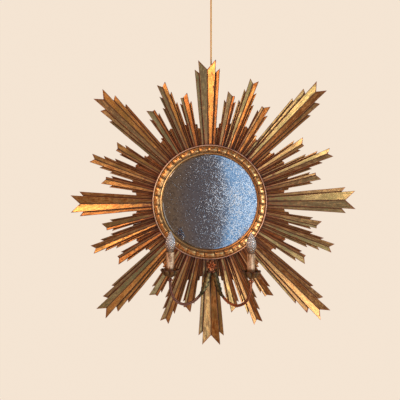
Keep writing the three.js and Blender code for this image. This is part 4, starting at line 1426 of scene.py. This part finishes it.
@dataclass
class HangingCord:
    """The taut twisted cord with its loops, knots, screw eye and wall hook.

    lower and upper are the heights of the loops' middles, aside is how far the lower loop
    stands beside the cord's foot, and over is how far each knot runs on over the cord.
    thick is a strand's radius as a share of the cord's.
    """

    foot: Point = (10.4, 300.3, 7.5)
    head: Point = (17.3, 764.0, 7.5)
    radius: float = 3.25
    pitch: float = 21.0
    loop: float = 7.0
    loop_cord: float = 2.6
    knot: float = 5.4
    eye: float = 4.7
    eye_wire: float = 1.5
    eye_rise: float = 271.2
    eye_foot: float = 250.0
    lower: float = 278.5
    upper: float = 786.0
    hook_rise: float = 788.1
    hook_reach: float = 15.0
    hook_lip: float = 10.0
    hook_wire: float = 2.0
    hook_bend: float = 2.6
    thick: float = 0.535
    aside: float = 0.43
    over: float = 0.3

    def strands(self, form: Form, path: Path, radius: float, turns: float) -> None:
        """Adds three strands wound round a path.

        Args:
            form: takes the strands.
            path: the cord's middle line.
            radius: of all three together, in mm.
            turns: how many times each goes round.
        """
        thick = radius * self.thick
        angle = circle(12)
        for number, line in enumerate(wound(path, 3, radius - thick, turns)):
            grid = line.tube(thick, 12)
            # Painted shade on each strand's inner side, towards the cord's middle.
            depth = np.linalg.norm(grid - path.points[:, None], axis=-1) / radius
            run = np.linspace(0, path.length, len(grid))[:, None]
            form.add(grid, ring=path.closed, hollow=1 - smooth(0.45, 0.95, depth),
                     along=0.12 * run, across=1.6 * angle, tone=number * 7.0)

    def looped(self, name: str, centre: Pair, end: float, twine: Material) -> Piece:
        """Makes the loop at one end of the cord and the knot that closes it.

        The loop is a circle, and the knot a coil of 3.4 turns round the cord, drawn in at
        both ends.

        Args:
            name: the node's name.
            centre: the loop's middle, across and up.
            end: how high the knot ends, where the cord begins.
            twine: its finish.

        Returns:
            The piece.
        """
        form = Form()
        x, y, out = *centre, self.foot[2]
        angle = circle(72).T
        ring = stacked(x + self.loop * np.sin(angle), y + self.loop * np.cos(angle), out)[:, 0]
        self.strands(form, Path(ring, closed=True), self.loop_cord, 3)
        start = y + np.sign(end - y) * (self.loop - self.loop_cord / 2)
        t = np.linspace(0, 1, 130)
        wire = self.knot * 0.4
        reach = (self.knot - wire) * np.sin(np.pi * np.clip(t, 0.04, 0.96)) ** 0.3
        turn = TURN * 3.4 * t
        rise = start + (end - start) * (0.12 + 0.76 * t)
        coil = stacked(x + reach * np.sin(turn), rise, out + reach * np.cos(turn))
        self.strands(form, Path(coil), wire, 4)
        core = np.linspace((x, start, out), (x, end, out), 24)
        self.strands(form, Path(core), self.radius * 0.85, 0.8)
        return form.piece(f"twisted_{name}", twine, "gold_cord", replaces=(name,))

    def fittings(self, metal: Material) -> Piece:
        """Makes the screw eye in the collar and the hook on the wall.

        The eye is one bent wire: a straight shank and most of a turn above it. The hook is
        a wire that runs out from its plate and bends up, rounded off at its tip.

        Args:
            metal: finish of both.

        Returns:
            The hook.
        """
        share = (self.eye_rise - self.foot[1]) / (self.head[1] - self.foot[1])
        x = self.foot[0] + share * (self.head[0] - self.foot[0])
        out = self.foot[2]
        aside = (1, 0, 0)
        turn = np.radians(np.linspace(180, -150, 12))
        ring = [(x, self.eye_rise + self.eye * np.cos(a), out + self.eye * np.sin(a)) for a in turn]
        shank_top = self.eye_rise - self.eye - self.eye_wire
        shank = [(x, y, out) for y in np.linspace(self.eye_foot, shank_top, 4)]
        form = Form().add(Path.through(shank + ring, 90).tube(self.eye_wire, 16, aside))
        form.piece("bent_screw_eye", metal, "steel", replaces=("screw_eye",))
        x, y = self.head[0], self.hook_rise
        form = Form().add(slab((x - 8, y - 9), (x + 8, y + 27), 5, 0, 2, 0.5))
        for rise in (y + 21, y - 5):
            form.add(screw_head(2.6, 1.9, 1.1) + np.array([x, rise, 0]))
        bend, reach, lip = self.hook_bend, self.hook_reach, self.hook_lip
        knots = [(x, y, 0.8), (x, y, 6), (x, y, reach - bend),
                 (x, y + bend * 0.3, reach - bend * 0.3), (x, y + bend, reach),
                 (x, y + lip * 0.6, reach), (x, y + lip, reach)]
        past = ((np.linspace(0, 1, 60) - 0.93) / 0.07).clip(0)
        taper = np.sqrt(np.clip(1 - past ** 2, 0.02, 1))[:, None]
        form.add(Path.through(knots, 60).tube(self.hook_wire * taper, 16, aside))
        return form.piece("hook", metal, "brass", replaces=("wall_hook",))

    def build(self, twine: Material, metal: Material) -> None:
        """Args:
            twine: finish of the cord, its loops and knots.
            metal: finish of the screw eye and the hook.
        """
        foot, head, over = self.foot[0] - self.aside, self.head[0], self.over
        loops = [self.looped("cord_loop_lower", (foot, self.lower), self.foot[1] - over, twine),
                 self.looped("cord_loop_upper", (head, self.upper), self.head[1] + over, twine)]
        hook = self.fittings(metal)
        line = Path(np.linspace(self.foot, self.head, 700))
        form = Form()
        self.strands(form, line, self.radius, line.length / self.pitch)
        made = form.piece("twisted_cord", twine, "gold_cord", replaces=("hanging_cord",))
        x, y, out = line.points[::20].T * MM
        route = stacked(x, -out, y).tolist()
        route.append([self.head[0] * MM, -self.head[2] * MM, self.head[1] * MM])
        line.length * MM


# ---------------------------------------------------------------- candle bracket


def upright(radius: np.ndarray, height: np.ndarray, sides: int) -> np.ndarray:
    """A profile turned about the upright axis, one row for each of its points.

    Args:
        radius: one value for each point of the profile, or rows by sides values.
        height: the same for its heights.
        sides: points round each row.

    Returns:
        The grid of points.
    """
    angle = circle(sides)
    radius, height = (part[:, None] if part.ndim == 1 else part for part in (radius, height))
    return stacked(radius * np.sin(angle), height, radius * np.cos(angle))


def aged(grid: np.ndarray, edge: Amount = 0, hollow: Amount = 0,
         tone: float = 0.5) -> dict[str, Amount]:
    """The named values that Gilding reads, with its grain along y."""
    return {"edge": edge, "hollow": hollow, "tone": tone,
            "along": grid[..., 1] * 4, "across": grid[..., 0]}


@dataclass(frozen=True)
class BracketFinishes:
    """The finishes of the bracket's parts."""

    copper: Material
    leaf: Material
    cup: Material
    tube: Material
    holder: Material
    glass: Material
    steel: Material


@dataclass
class Bracket:
    """The bracket below the glass: rosette, two arms with leaves, and two candles.

    Its forms are drawn about the rosette's centre and turned by its slight lean. A cup's
    heights, a tube's and a bulb's are measured up from the rosette's centre too. petals is
    the number on the rosette and on each cup.
    """

    finishes: BracketFinishes
    x: float = 7.5
    y: float = -234.7
    lean: float = 1.2
    back: float = 31.3
    rosette_radius: float = 18.0
    rosette_top: float = 51.3
    boss_drop: float = 9.0
    candle_side: float = 139.5
    candle_out: float = 138.0
    petals: int = 8
    arm_width: float = 5.2
    arm_depth: float = 4.0
    arm_steps: int = 260
    leaf_width: float = 12.0
    leaf_teeth: int = 5
    cup_floor: float = 17.0
    cup_reach: float = 18.2
    cup_low: float = -20.3
    cup_rise: float = 22.3
    tube_radius: float = 13.2
    tube_bore: float = 12.3
    tube_top: float = 61.5
    tube_foot: float = -20.0
    wax: float = 0.6
    bulb_foot: float = 57.3
    bulb_height: float = 76.0
    bulb_flutes: int = 9
    flute_depth: float = 0.09
    glass_wall: float = 1.1
    thread_pitch: float = 2.8
    arm_knots: tuple[Point, ...] = (
        (5.15, -17.9, 40.0), (11.0, -28.1, 40.0), (22.0, -66.0, 52.0), (37.9, -98.0, 72.0),
        (61.9, -120.0, 89.0), (91.9, -127.5, 107.0), (120.0, -111.9, 124.0),
        (136.0, -78.0, 135.0), (139.5, -42.0, 138.0), (139.5, -28.0, 138.0))

    def placed(self, grid: np.ndarray, hand: Hand | None = None) -> np.ndarray:
        """Moves a grid from the bracket's frame, or a candle's, into the face frame.

        Args:
            grid: the points.
            hand: the side of the candle that they belong to, if any.

        Returns:
            The moved points.
        """
        if hand:
            grid = grid + np.array([hand.value * self.candle_side, 0, self.candle_out])
        return turned(grid, self.lean) + np.array([self.x, self.y, 0])

    def rosette(self) -> None:
        """Makes the rosette with its boss, tongue and screw.

        Over a share s of the radius the petals' height follows a smooth profile. Between
        two petals it sinks by the fourth power of a cosine, along the middle of each runs
        a narrow rib, and eight short petals stand on the inner half.
        """
        form = Form()
        angle = circle(192)
        wave = self.petals / 2 * angle
        behind = [0.99, 0.8, 0.6, 0.6, 0.6, 0.01]
        share = np.concatenate([np.linspace(0.01, 1, 44), behind])[:, None]
        profile = np.interp(share, [0, 0.12, 0.2, 0.27, 0.36, 0.5, 0.66, 0.84, 1],
                            [-1.4, -1.1, 0.3, 2.4, 0.6, 1.9, 2.4, 2.2, 5])
        valley = np.cos(wave) ** 4
        short = np.sin(wave) ** 4
        rib = bell(np.cos(wave), 0, 0.16, 4) * smooth(0.5, 0.7, share)
        relief = (profile + 3.2 * valley * smooth(0.3, 0.62, share)
                  - 0.7 * rib * smooth(1, 0.8, share)
                  + 2.2 * short * smooth(0.27, 0.34, share) * smooth(0.56, 0.48, share))
        out = self.rosette_top - relief
        out[-len(behind):] = self.rosette_top - np.array([7.5, 8.5, 10, 15, 20, 20])[:, None]
        scallop = 1 - 0.13 * np.cos(wave) ** 2 * smooth(0.6, 1, share)
        grid = self.placed(polar(self.rosette_radius * share * scallop, angle, out))
        # Painted shade between the petals and in the sunk groove near the middle.
        hollow = valley * smooth(0.35, 0.7, share) * 0.8 + bell(share, 0.27, 0.05)
        form.add(grid, **aged(grid, bell(share, 0.84, 0.08) * (1 - valley), hollow))
        boss = fillet([(0.3, self.back), (10, self.back), (10, 42), (9, 42.8), (10, 43.6),
                       (9.4, 46.4), (7.5, 47), (0.3, 47)], 0.7)
        grid = self.placed(lathe(boss, 72) - np.array([0, self.boss_drop, 0]))
        form.add(grid, **aged(grid, 0.3, 0.1))
        grid = self.placed(slab((-4.5, 0), (4.5, 22.2), 2.5, self.back, self.back + 2.5, 0.6))
        form.add(grid, **aged(grid, 0.2, 0.25))
        grid = self.placed(screw_head(2.2, self.back + 2.3, 1.8) + np.array([0, 19.6, 0]))
        form.add(grid, **aged(grid, 0, 1.2))
        form.piece("petalled_rosette", self.finishes.copper, "copper_metal", replaces=("rosette",))

    def arm_path(self, hand: Hand) -> Path:
        """The arm's middle line, from the boss to its cup."""
        knots = [(hand.value * x, y, out) for x, y, out in self.arm_knots]
        return Path.through(knots, self.arm_steps)

    def arm(self, hand: Hand) -> None:
        """Makes one arm: two ribs side by side, with a groove between them.

        The section is an ellipse whose height is pinched where the cosine is near 0.

        Args:
            hand: its side.
        """
        path = self.arm_path(hand)
        angle = circle(40)
        share = np.linspace(0, 1, self.arm_steps)[:, None]
        pinch = 1 - 0.42 * bell(np.cos(angle), 0, 0.3)
        collar = 1 + 0.85 * bell(share, 0.972, 0.016, 4)
        swell = (1 - 0.08 * share) * collar
        width = self.arm_width * swell * np.cos(angle)
        height = self.arm_depth * swell * pinch * np.sin(angle)
        grid = self.placed(path.sweep(width, height))
        # Painted shade in the groove between the two ribs.
        groove = bell(np.cos(angle), 0, 0.22) + 0 * share
        values = aged(grid, 0.5 * (1 - groove), 0.95 * groove, 0.1 if hand is Hand.RIGHT else 1.7)
        values["along"] = share * path.length + 0 * angle
        values["across"] = width * 2
        Form().add(grid, **values).piece(f"ribbed_arm_{hand.word}", self.finishes.copper,
                                         "copper_metal", replaces=(f"arm_{hand.word}",))

    def arm_leaf(self, hand: Hand) -> None:
        """Makes the toothed leaves that hold the first part of an arm, front and back.

        A point stands at a share s along the leaf and t across it, from -1 to 1. Its
        half-width is a sine swell, cut back in saw teeth whose points lean towards the
        tip. The sheet arches by 1 - t^2, with a rib along its middle and grooves that
        run out to the teeth, and its tip curls away from the arm.

        Args:
            hand: its side.
        """
        full = self.arm_path(hand)
        across, over = full.axes()
        numbers = np.arange(self.arm_steps)
        form = Form()
        s = np.linspace(0, 1, 150)[:, None]
        t = np.concatenate([np.linspace(-1, 1, 33), np.linspace(1, -1, 33)[1:-1]])[None]
        front = np.concatenate([np.ones(33), np.zeros(31)])[None]
        swell = np.sin(np.pi * (0.22 + 0.72 * s)) ** 0.8
        for face, size, begin, end in ((1, 1.0, 7, 90), (-1, 0.84, 7, 76)):
            saw = (s * self.leaf_teeth + 0.05) % 1
            width = (self.leaf_width * size * swell * (1 - 0.38 * saw ** 1.4)
                     * smooth(-0.05, 0.06, 1 - s))
            lean = 0.06 * np.abs(t) ** 1.5
            place = np.clip(begin + (end - begin) * (s + lean * smooth(0, 0.1, s)), 0, numbers[-1])
            middle, side, up = (
                np.stack([np.interp(place, numbers, column) for column in line.T], axis=-1)
                for line in (full.points, across, over))
            arch = (3.4 + 3.4 * size * swell) * (1 - 0.8 * t ** 2) - 0.3
            vein = 0.8 * np.cos(TURN * (s * self.leaf_teeth - 0.35 * np.abs(t)))
            vein = vein * np.abs(t) * (1 - t ** 2)
            rib = 0.9 * bell(t, 0, 0.1)
            curl = 6.0 * size * smooth(0.8, 1.05, s + 0.2 * t ** 2)
            lift = arch + (vein + rib) * front + curl - (1 - front) * (0.9 * (1 - t ** 2) + 0.25)
            grid = middle + side * (width * t)[..., None] + up * (face * lift)[..., None]
            grid = self.placed(grid)
            edge = front * (np.exp(-((1 - np.abs(t)) / 0.12)) + bell(t, 0, 0.08)) + 0 * s
            # Painted shade on the back face, in the grooves between the veins, more towards the
            # edges, and at the foot by the arm.
            hollow = (0.7 * (1 - front) + front * (0.5 - 0.6 * vein) * np.abs(t)
                      + 0.4 * np.exp(-s / 0.08))
            form.add(grid, **aged(grid, np.clip(edge, 0, 1), hollow, 0.3 + 0.2 * face))
        form.piece(f"toothed_leaf_{hand.word}", self.finishes.leaf, "green_leaf",
                   replaces=(f"arm_leaf_{hand.word}",))

    def cup(self, hand: Hand) -> None:
        """Makes one drip cup: eight petals round a turned hub.

        Over a share s from the floor to the rim the dish rises as s^1.5. Between petals
        its edge is cut back and sinks, along each petal runs a groove, and the rim rolls
        outward.

        Args:
            hand: its side.
        """
        angle = circle(320)
        s = np.linspace(0, 1, 40)
        lift = self.cup_rise * s ** 1.5 - 1.2 * smooth(0.9, 1, s)
        inside = np.stack([self.cup_floor + self.cup_reach * s, self.cup_low + lift])
        under = np.stack([self.cup_floor + (self.cup_reach + 0.7) * s, self.cup_low - 1.8 + lift])
        hub = fillet([(15, -22.5), (11, -23), (9.4, -24.6), (8, -25), (9, -26.4), (8.6, -27.7),
                      (0.3, -27.7)], 0.6).T
        floor = np.array([(0.3, self.cup_low), (10, self.cup_low), (16, self.cup_low - 0.1)]).T
        radius, height = np.concatenate([floor, inside, under[:, ::-1], hub], axis=1)
        share = np.clip((radius - self.cup_floor) / self.cup_reach, 0, 1)[:, None]
        valley = np.cos(self.petals / 2 * angle) ** 2
        reach = radius[:, None] * (1 - 0.27 * share ** 0.8 * valley ** 1.5)
        rib = bell(1 - valley, 0, 0.06) - 0.6 * bell(valley, 0, 0.03)
        rise = height[:, None] - share * (2.2 * valley ** 3 + 0.9 * rib * (1 - share))
        rise = rise + 0.7 * share * (1 - share) * np.sin(5 * self.petals * angle)
        grid = self.placed(upright(reach, rise, 320), hand)
        # Painted shade between the petals and inside the dish near its floor.
        hollow = 0.8 * valley ** 4 * share + 0.5 * (1 - share) * (height[:, None] > -21)
        edge = np.exp(-(1 - share) / 0.06) * (1 - valley ** 2)
        Form().add(grid, **aged(grid, edge, hollow, 0.4)).piece(
            f"petalled_cup_{hand.word}", self.finishes.cup, "gilt_leaf",
            replaces=(f"drip_cup_{hand.word}",))

    def sleeve(self, hand: Hand) -> None:
        """Makes one candle sleeve, with runs of old wax down from its rim.

        A run's length is a sum of squared sines round the tube, and its thickness the root
        of another sine. The tube waves a little along its height.

        Args:
            hand: its side.
        """
        steps, top, foot = 90, self.tube_top, self.tube_foot
        height = np.concatenate([np.linspace(foot, top - 1.2, steps),
                                 [top - 0.3, top, top - 0.3, top - 2.5], np.linspace(50, foot, 6)])
        radius = np.concatenate([np.full(steps, self.tube_radius), [13.1, 12.7, 12.4],
                                 np.full(7, self.tube_bore)])
        angle = circle(128)
        depth = (top - height)[:, None]
        run = 14 + 22 * np.sin(angle * 3 + hand.value) ** 2 + 12 * np.sin(angle * 7 + 2) ** 2
        ripple = (0.5 + 0.5 * np.sin(angle * 11 + 1)) ** 0.5
        wax = self.wax * smooth(1, -0.4, depth / run - 0.6) * ripple
        wave = 0.5 * np.sin(height[:, None] * 0.16 + 2 * np.sin(angle)) * (depth > 4)
        outer = (np.arange(len(height)) <= steps)[:, None]
        reach = radius[:, None] + outer * np.minimum(wax + wave * 0.6 + 0.1, self.wax)
        grid = self.placed(upright(reach, height, 128), hand)
        hollow = smooth(48, 72, depth) + 0.6 * smooth(3, 0, depth) + 0 * angle
        Form().add(grid, hollow=hollow).piece(
            f"waxed_sleeve_{hand.word}", self.finishes.tube, "candle_tube",
            replaces=(f"candle_sleeve_{hand.word}",))

    def bulb(self, hand: Hand) -> None:
        """Makes the glass of one bulb, hollow and twisted.

        Its outline is smoothed through its widths, and its flutes lean by a steady 1.5
        radians between foot and tip.

        Args:
            hand: its side.
        """
        share = np.linspace(0, 1, 72)
        widths = Path.through([(0, 10.2, 0), (0.07, 11.2, 0), (0.24, 16.3, 0), (0.38, 17.4, 0),
                               (0.52, 16.5, 0), (0.68, 12.9, 0), (0.84, 7.5, 0), (0.95, 3.3, 0),
                               (1, 0.4, 0)], 400)
        outline = np.interp(share, widths.points[:, 0], widths.points[:, 1])
        flute = np.abs(np.cos(self.bulb_flutes / 2 * (circle(144) + 1.5 * share[:, None])))
        cut = self.flute_depth * (1 - flute) * smooth(0, 0.15, share[:, None])
        back = share[::-1]
        rise = self.bulb_foot + self.bulb_height * share
        outer = upright(outline[:, None] * (1 - cut), rise, 144)
        hollow = np.clip(outline - self.glass_wall, 0.1, None)[::-1] * 0.93
        inner = upright(hollow, rise[::-1] - 0.6 * back, 144)
        low = smooth(0.55, 0.15, np.concatenate([share, back]))[:, None]
        grid = self.placed(np.concatenate([outer, inner]), hand)
        Form().add(grid, ring=True, hollow=low).piece(
            f"twisted_bulb_{hand.word}", self.finishes.glass, "lamp_glass",
            f"{hand.word}_bulb", (f"bulb_{hand.word}",))

    def cap(self, hand: Hand) -> None:
        """Makes the threaded cap of one bulb.

        The thread is a sine of the height over its pitch, less the angle round the cap.

        Args:
            hand: its side.
        """
        height = np.concatenate([[31, 31.2, 32.8, 33.2, 34.2], np.linspace(35, 55, 60),
                                 [56, 57, 57]])[:, None]
        radius = np.concatenate([[0.3, 2.8, 3, 5.4, 6.3], np.full(60, 6.6),
                                 [6.9, 6.9, 0.3]])[:, None]
        thread = 0.32 * np.sin(TURN * height / self.thread_pitch - circle(48))
        thread = thread * ((height > 35) & (height < 55))
        grid = self.placed(upright(radius + thread, height, 48), hand)
        Form().add(grid).piece(f"threaded_cap_{hand.word}", self.finishes.steel, "steel",
                               f"{hand.word}_bulb", (f"bulb_cap_{hand.word}",))

    def filament(self, hand: Hand) -> None:
        """Makes the stem, its two wires and the coil between them, inside one bulb.

        Args:
            hand: its side.
        """
        stem = upright(np.array([0.2, 4.6, 4.2, 2.6, 2.2, 1.4, 0.2]),
                       np.array([57.4, 57.5, 62, 70, 78, 82, 83]), 24)
        form = Form().add(self.placed(stem, hand))
        for side in (-1, 1):
            wire = Path.through([(side * 1.2, 80, 0), (side * 2.5, 88, 0), (side * 4.8, 98, 0)], 24)
            form.add(self.placed(wire.tube(0.3, 10), hand))
        coil = Path.through([(-4.8, 98, 0), (-2.4, 103, 1.2), (0, 99, -1), (2.4, 103, 1.2),
                             (4.8, 98, 0)], 240)
        form.add(self.placed(wound(coil, 1, 0.45, 30)[0].tube(0.16, 10), hand))
        form.piece(f"filament_{hand.word}", self.finishes.steel, "steel", f"{hand.word}_bulb")

    def build(self) -> None:
        """Makes the whole bracket."""
        self.rosette()
        for hand in Hand:
            self.arm(hand)
            self.arm_leaf(hand)
            self.cup(hand)
            self.sleeve(hand)
            holder = bpy.data.objects[f"lampholder_{hand.word}"]
            holder.material_slots[0].material = self.finishes.holder
            self.bulb(hand)
            self.cap(hand)
            self.filament(hand)


# ---------------------------------------------------------------- studio


@dataclass(frozen=True)
class Lamp:
    """A soft square light that faces a place; places are in metres, in the part's axes."""

    name: str
    place: Point
    target: Point
    size: float
    power: float
    colour: Colour

    def build(self) -> None:
        """Adds the light, unseen by the camera itself."""
        light = bpy.data.lights.new(self.name, "AREA")
        light.size, light.energy, light.color = self.size, self.power, self.colour
        made = bpy.data.objects.new(self.name, light)
        made.location = self.place
        aim = Vector(self.target) - made.location
        made.rotation_euler = aim.to_track_quat("-Z", "Y").to_euler()
        made.visible_camera = False
        bpy.context.scene.collection.objects.link(made)


@dataclass(frozen=True)
class Studio:
    """The camera, a pale surround, the lights and a plain floor.

    The camera is turned about Z, tilted about X and rolled, in degrees. The edges say where
    one colour of the surround gives way to the next, as shares of x, and of y for the part
    ahead.
    """

    camera: Point = (0.097603, -1.6064, 0.000189)
    turn: float = 4.757
    tilt: float = 90.283
    roll: float = -0.833
    lens: float = 38.385
    backdrop: Colour = (0.91, 0.78, 0.65)
    warm_glow: Colour = (0.25, 0.11, 0.05)
    cool_glow: Colour = (0.15, 0.155, 0.14)
    dim: Colour = (0.36, 0.235, 0.14)
    room: Colour = (0.25, 0.22, 0.225)
    window: Colour = (0.44, 0.86, 1.38)
    dim_edge: Pair = (-0.07, -0.19)
    window_edge: Pair = (-0.034, 0.0)
    glow_edge: Pair = (-0.5, 0.4)
    ahead_edge: Pair = (-0.7, -0.95)
    floor_height: float = -1.35
    floor_radius: float = 1.2
    floor_colour: Colour = (0.75, 0.73, 0.70)
    lamps: tuple[Lamp, ...] = (
        Lamp("warm_key", (-2.1, -2.4, 1.7), (0, 0, 0), 1.4, 47, (1.0, 0.69, 0.44)),
        Lamp("soft_side", (2.4, -2.2, -0.3), (0, 0, 0), 1.3, 38, (0.95, 1.0, 0.90)),
        Lamp("pale_left", (-1.65, -2.35, -0.45), (0, 0, 0), 0.9, 1.5, (0.85, 1.0, 1.0)),
        Lamp("pale_right", (1.75, -1.6, -1.05), (0.2, 0, 0), 0.8, 17, (0.95, 1.0, 0.95)),
        Lamp("behind", (0.9, 2.6, 1.0), (0, 0, 0), 1.8, 30, (1.0, 0.93, 0.85)))

    def eye(self) -> None:
        """Places the camera where the photo was taken from."""
        data = bpy.data.cameras.new("camera")
        data.lens, data.sensor_width, data.clip_start = self.lens, 36, 0.01
        made = bpy.data.objects.new("camera", data)
        turns = ((self.turn, "Z"), (self.tilt, "X"), (self.roll, "Z"))
        aim = Matrix.Identity(4)
        for degrees, axis in turns:
            aim = aim @ Matrix.Rotation(np.radians(degrees), 4, axis)
        made.matrix_world = Matrix.Translation(self.camera) @ aim
        bpy.context.scene.collection.objects.link(made)
        bpy.context.scene.camera = made

    def surround(self) -> None:
        """A plain world, pale to the camera.

        As a light it is dim all round, warm on the left and cool on the right. In front it
        turns from brown through grey to daylight, by the direction's share of x.
        """
        world = bpy.data.worlds.new("surround")
        world.use_nodes = True
        world.node_tree.nodes.clear()
        graph = Graph(world.node_tree)
        seen = graph.node("ShaderNodeLightPath", {}).outputs["Is Camera Ray"]
        direction = graph.node("ShaderNodeTexCoord", {}).outputs["Generated"]
        x, y, _ = graph.node("ShaderNodeSeparateXYZ", {0: direction}).outputs
        ahead = graph.mix(graph.spread(x, *self.dim_edge), self.room, self.dim)
        ahead = graph.mix(graph.spread(x, *self.window_edge), ahead, self.window)
        glow = graph.mix(graph.spread(x, *self.glow_edge), self.warm_glow, self.cool_glow)
        light = graph.mix(graph.spread(y, *self.ahead_edge), glow, ahead)
        colour = graph.mix(seen, light, self.backdrop)
        shader = graph.node("ShaderNodeBackground", {"Color": colour})
        graph.node("ShaderNodeOutputWorld", {"Surface": shader.outputs[0]})
        bpy.context.scene.world = world
        bpy.context.scene.view_settings.view_transform = "Standard"

    def floor(self) -> None:
        """A plain round floor far below the mirror."""
        angle = circle(96)[0]
        points = stacked(self.floor_radius * np.cos(angle), self.floor_radius * np.sin(angle),
                         self.floor_height)
        mesh = bpy.data.meshes.new("floor")
        mesh.from_pydata(points.tolist(), [], [list(range(len(points)))])
        made = bpy.data.objects.new("floor", mesh)
        material, graph = new_material("floor")
        graph.surface({"Base Color": self.floor_colour, "Roughness": 0.8})
        mesh.materials.append(material)
        bpy.context.scene.collection.objects.link(made)

    def build(self) -> None:
        """Sets up everything round the object."""
        self.eye()
        self.surround()
        self.floor()
        for lamp in self.lamps:
            lamp.build()


def main() -> None:
    """Builds the studio, the cord and then each part of the mirror."""
    logging.basicConfig(level=logging.INFO, format="%(name)s: %(message)s")
    Studio().build()
    twine = Twine("gold_twine").make()
    brass = PlainMetal("dull_brass", (0.62, 0.42, 0.16), (0.2, 0.13, 0.05)).make()
    HangingCord().build(twine, brass)
    gold = Gilding("ray_leaf", (0.97, 0.52, 0.18), (0.34, 0.21, 0.075), (0.25, 0.06, 0.02),
                   (0.05, 0.015, 0.007), worn=0.6, shade_and_dirt=1.0, roughness=0.23).make()
    ring_gold = Gilding("ring_leaf", (1.0, 0.60, 0.25), (0.82, 0.44, 0.17), (0.62, 0.23, 0.075),
                        (0.08, 0.026, 0.01), worn=0.25, tarnished=0.1, shade_and_dirt=0.66, roughness=0.26,
                        relief=0.0003).make()
    dark = Gilding("collar_leaf", (1.0, 0.54, 0.20), (0.46, 0.27, 0.10), (0.40, 0.115, 0.04),
                   (0.06, 0.018, 0.008), worn=0.5, shade_and_dirt=0.45, roughness=0.3).make()
    Sunburst(root=210).build(gold)
    Collar(root=210, opening=185, radius=262).build(dark)
    # The rim bead's pale leaf is a painted highlight line.
    pale = Gilding("highlight_rim", (1.0, 0.74, 0.58), (0.8, 0.5, 0.36), (0.55, 0.25, 0.16),
                   (0.2, 0.08, 0.05), tarnished=0.3, shade_and_dirt=0.4, roughness=0.4,
                   relief=0.0002).make()
    Ring(rim=212).build(ring_gold, pale)
    Glass(radius=184).build(SilveredGlass("old_silvering").make())
    Backing(opening=185).build(BareWood("bare_wood").make(), brass)
    steel = PlainMetal("dull_steel", (0.42, 0.41, 0.39), (0.2, 0.15, 0.11)).make()
    copper = Gilding("copper_patina", (0.86, 0.32, 0.13), (0.20, 0.085, 0.06), (0.24, 0.06, 0.03),
                     (0.04, 0.014, 0.012), worn=0.4, tarnished=0.35, relief=0.0002)
    leaf = Gilding("green_patina", (0.46, 0.32, 0.13), (0.10, 0.085, 0.04), (0.15, 0.07, 0.035),
                   (0.016, 0.014, 0.008), tarnished=0.95, relief=0.0002)
    cup = Gilding("olive_gilt", (0.52, 0.27, 0.10), (0.13, 0.08, 0.032), (0.15, 0.055, 0.03),
                  (0.02, 0.012, 0.008), worn=0.6, tarnished=0.7, relief=0.0002)
    finishes = BracketFinishes(
        copper.make(), leaf.make(), cup.make(), CandleTube("aged_tube").make(),
        Moulded("dark_moulding").make(), LampGlass("clear_glass").make(), steel)
    Bracket(finishes).build()


if __name__ == "__main__":
    main()
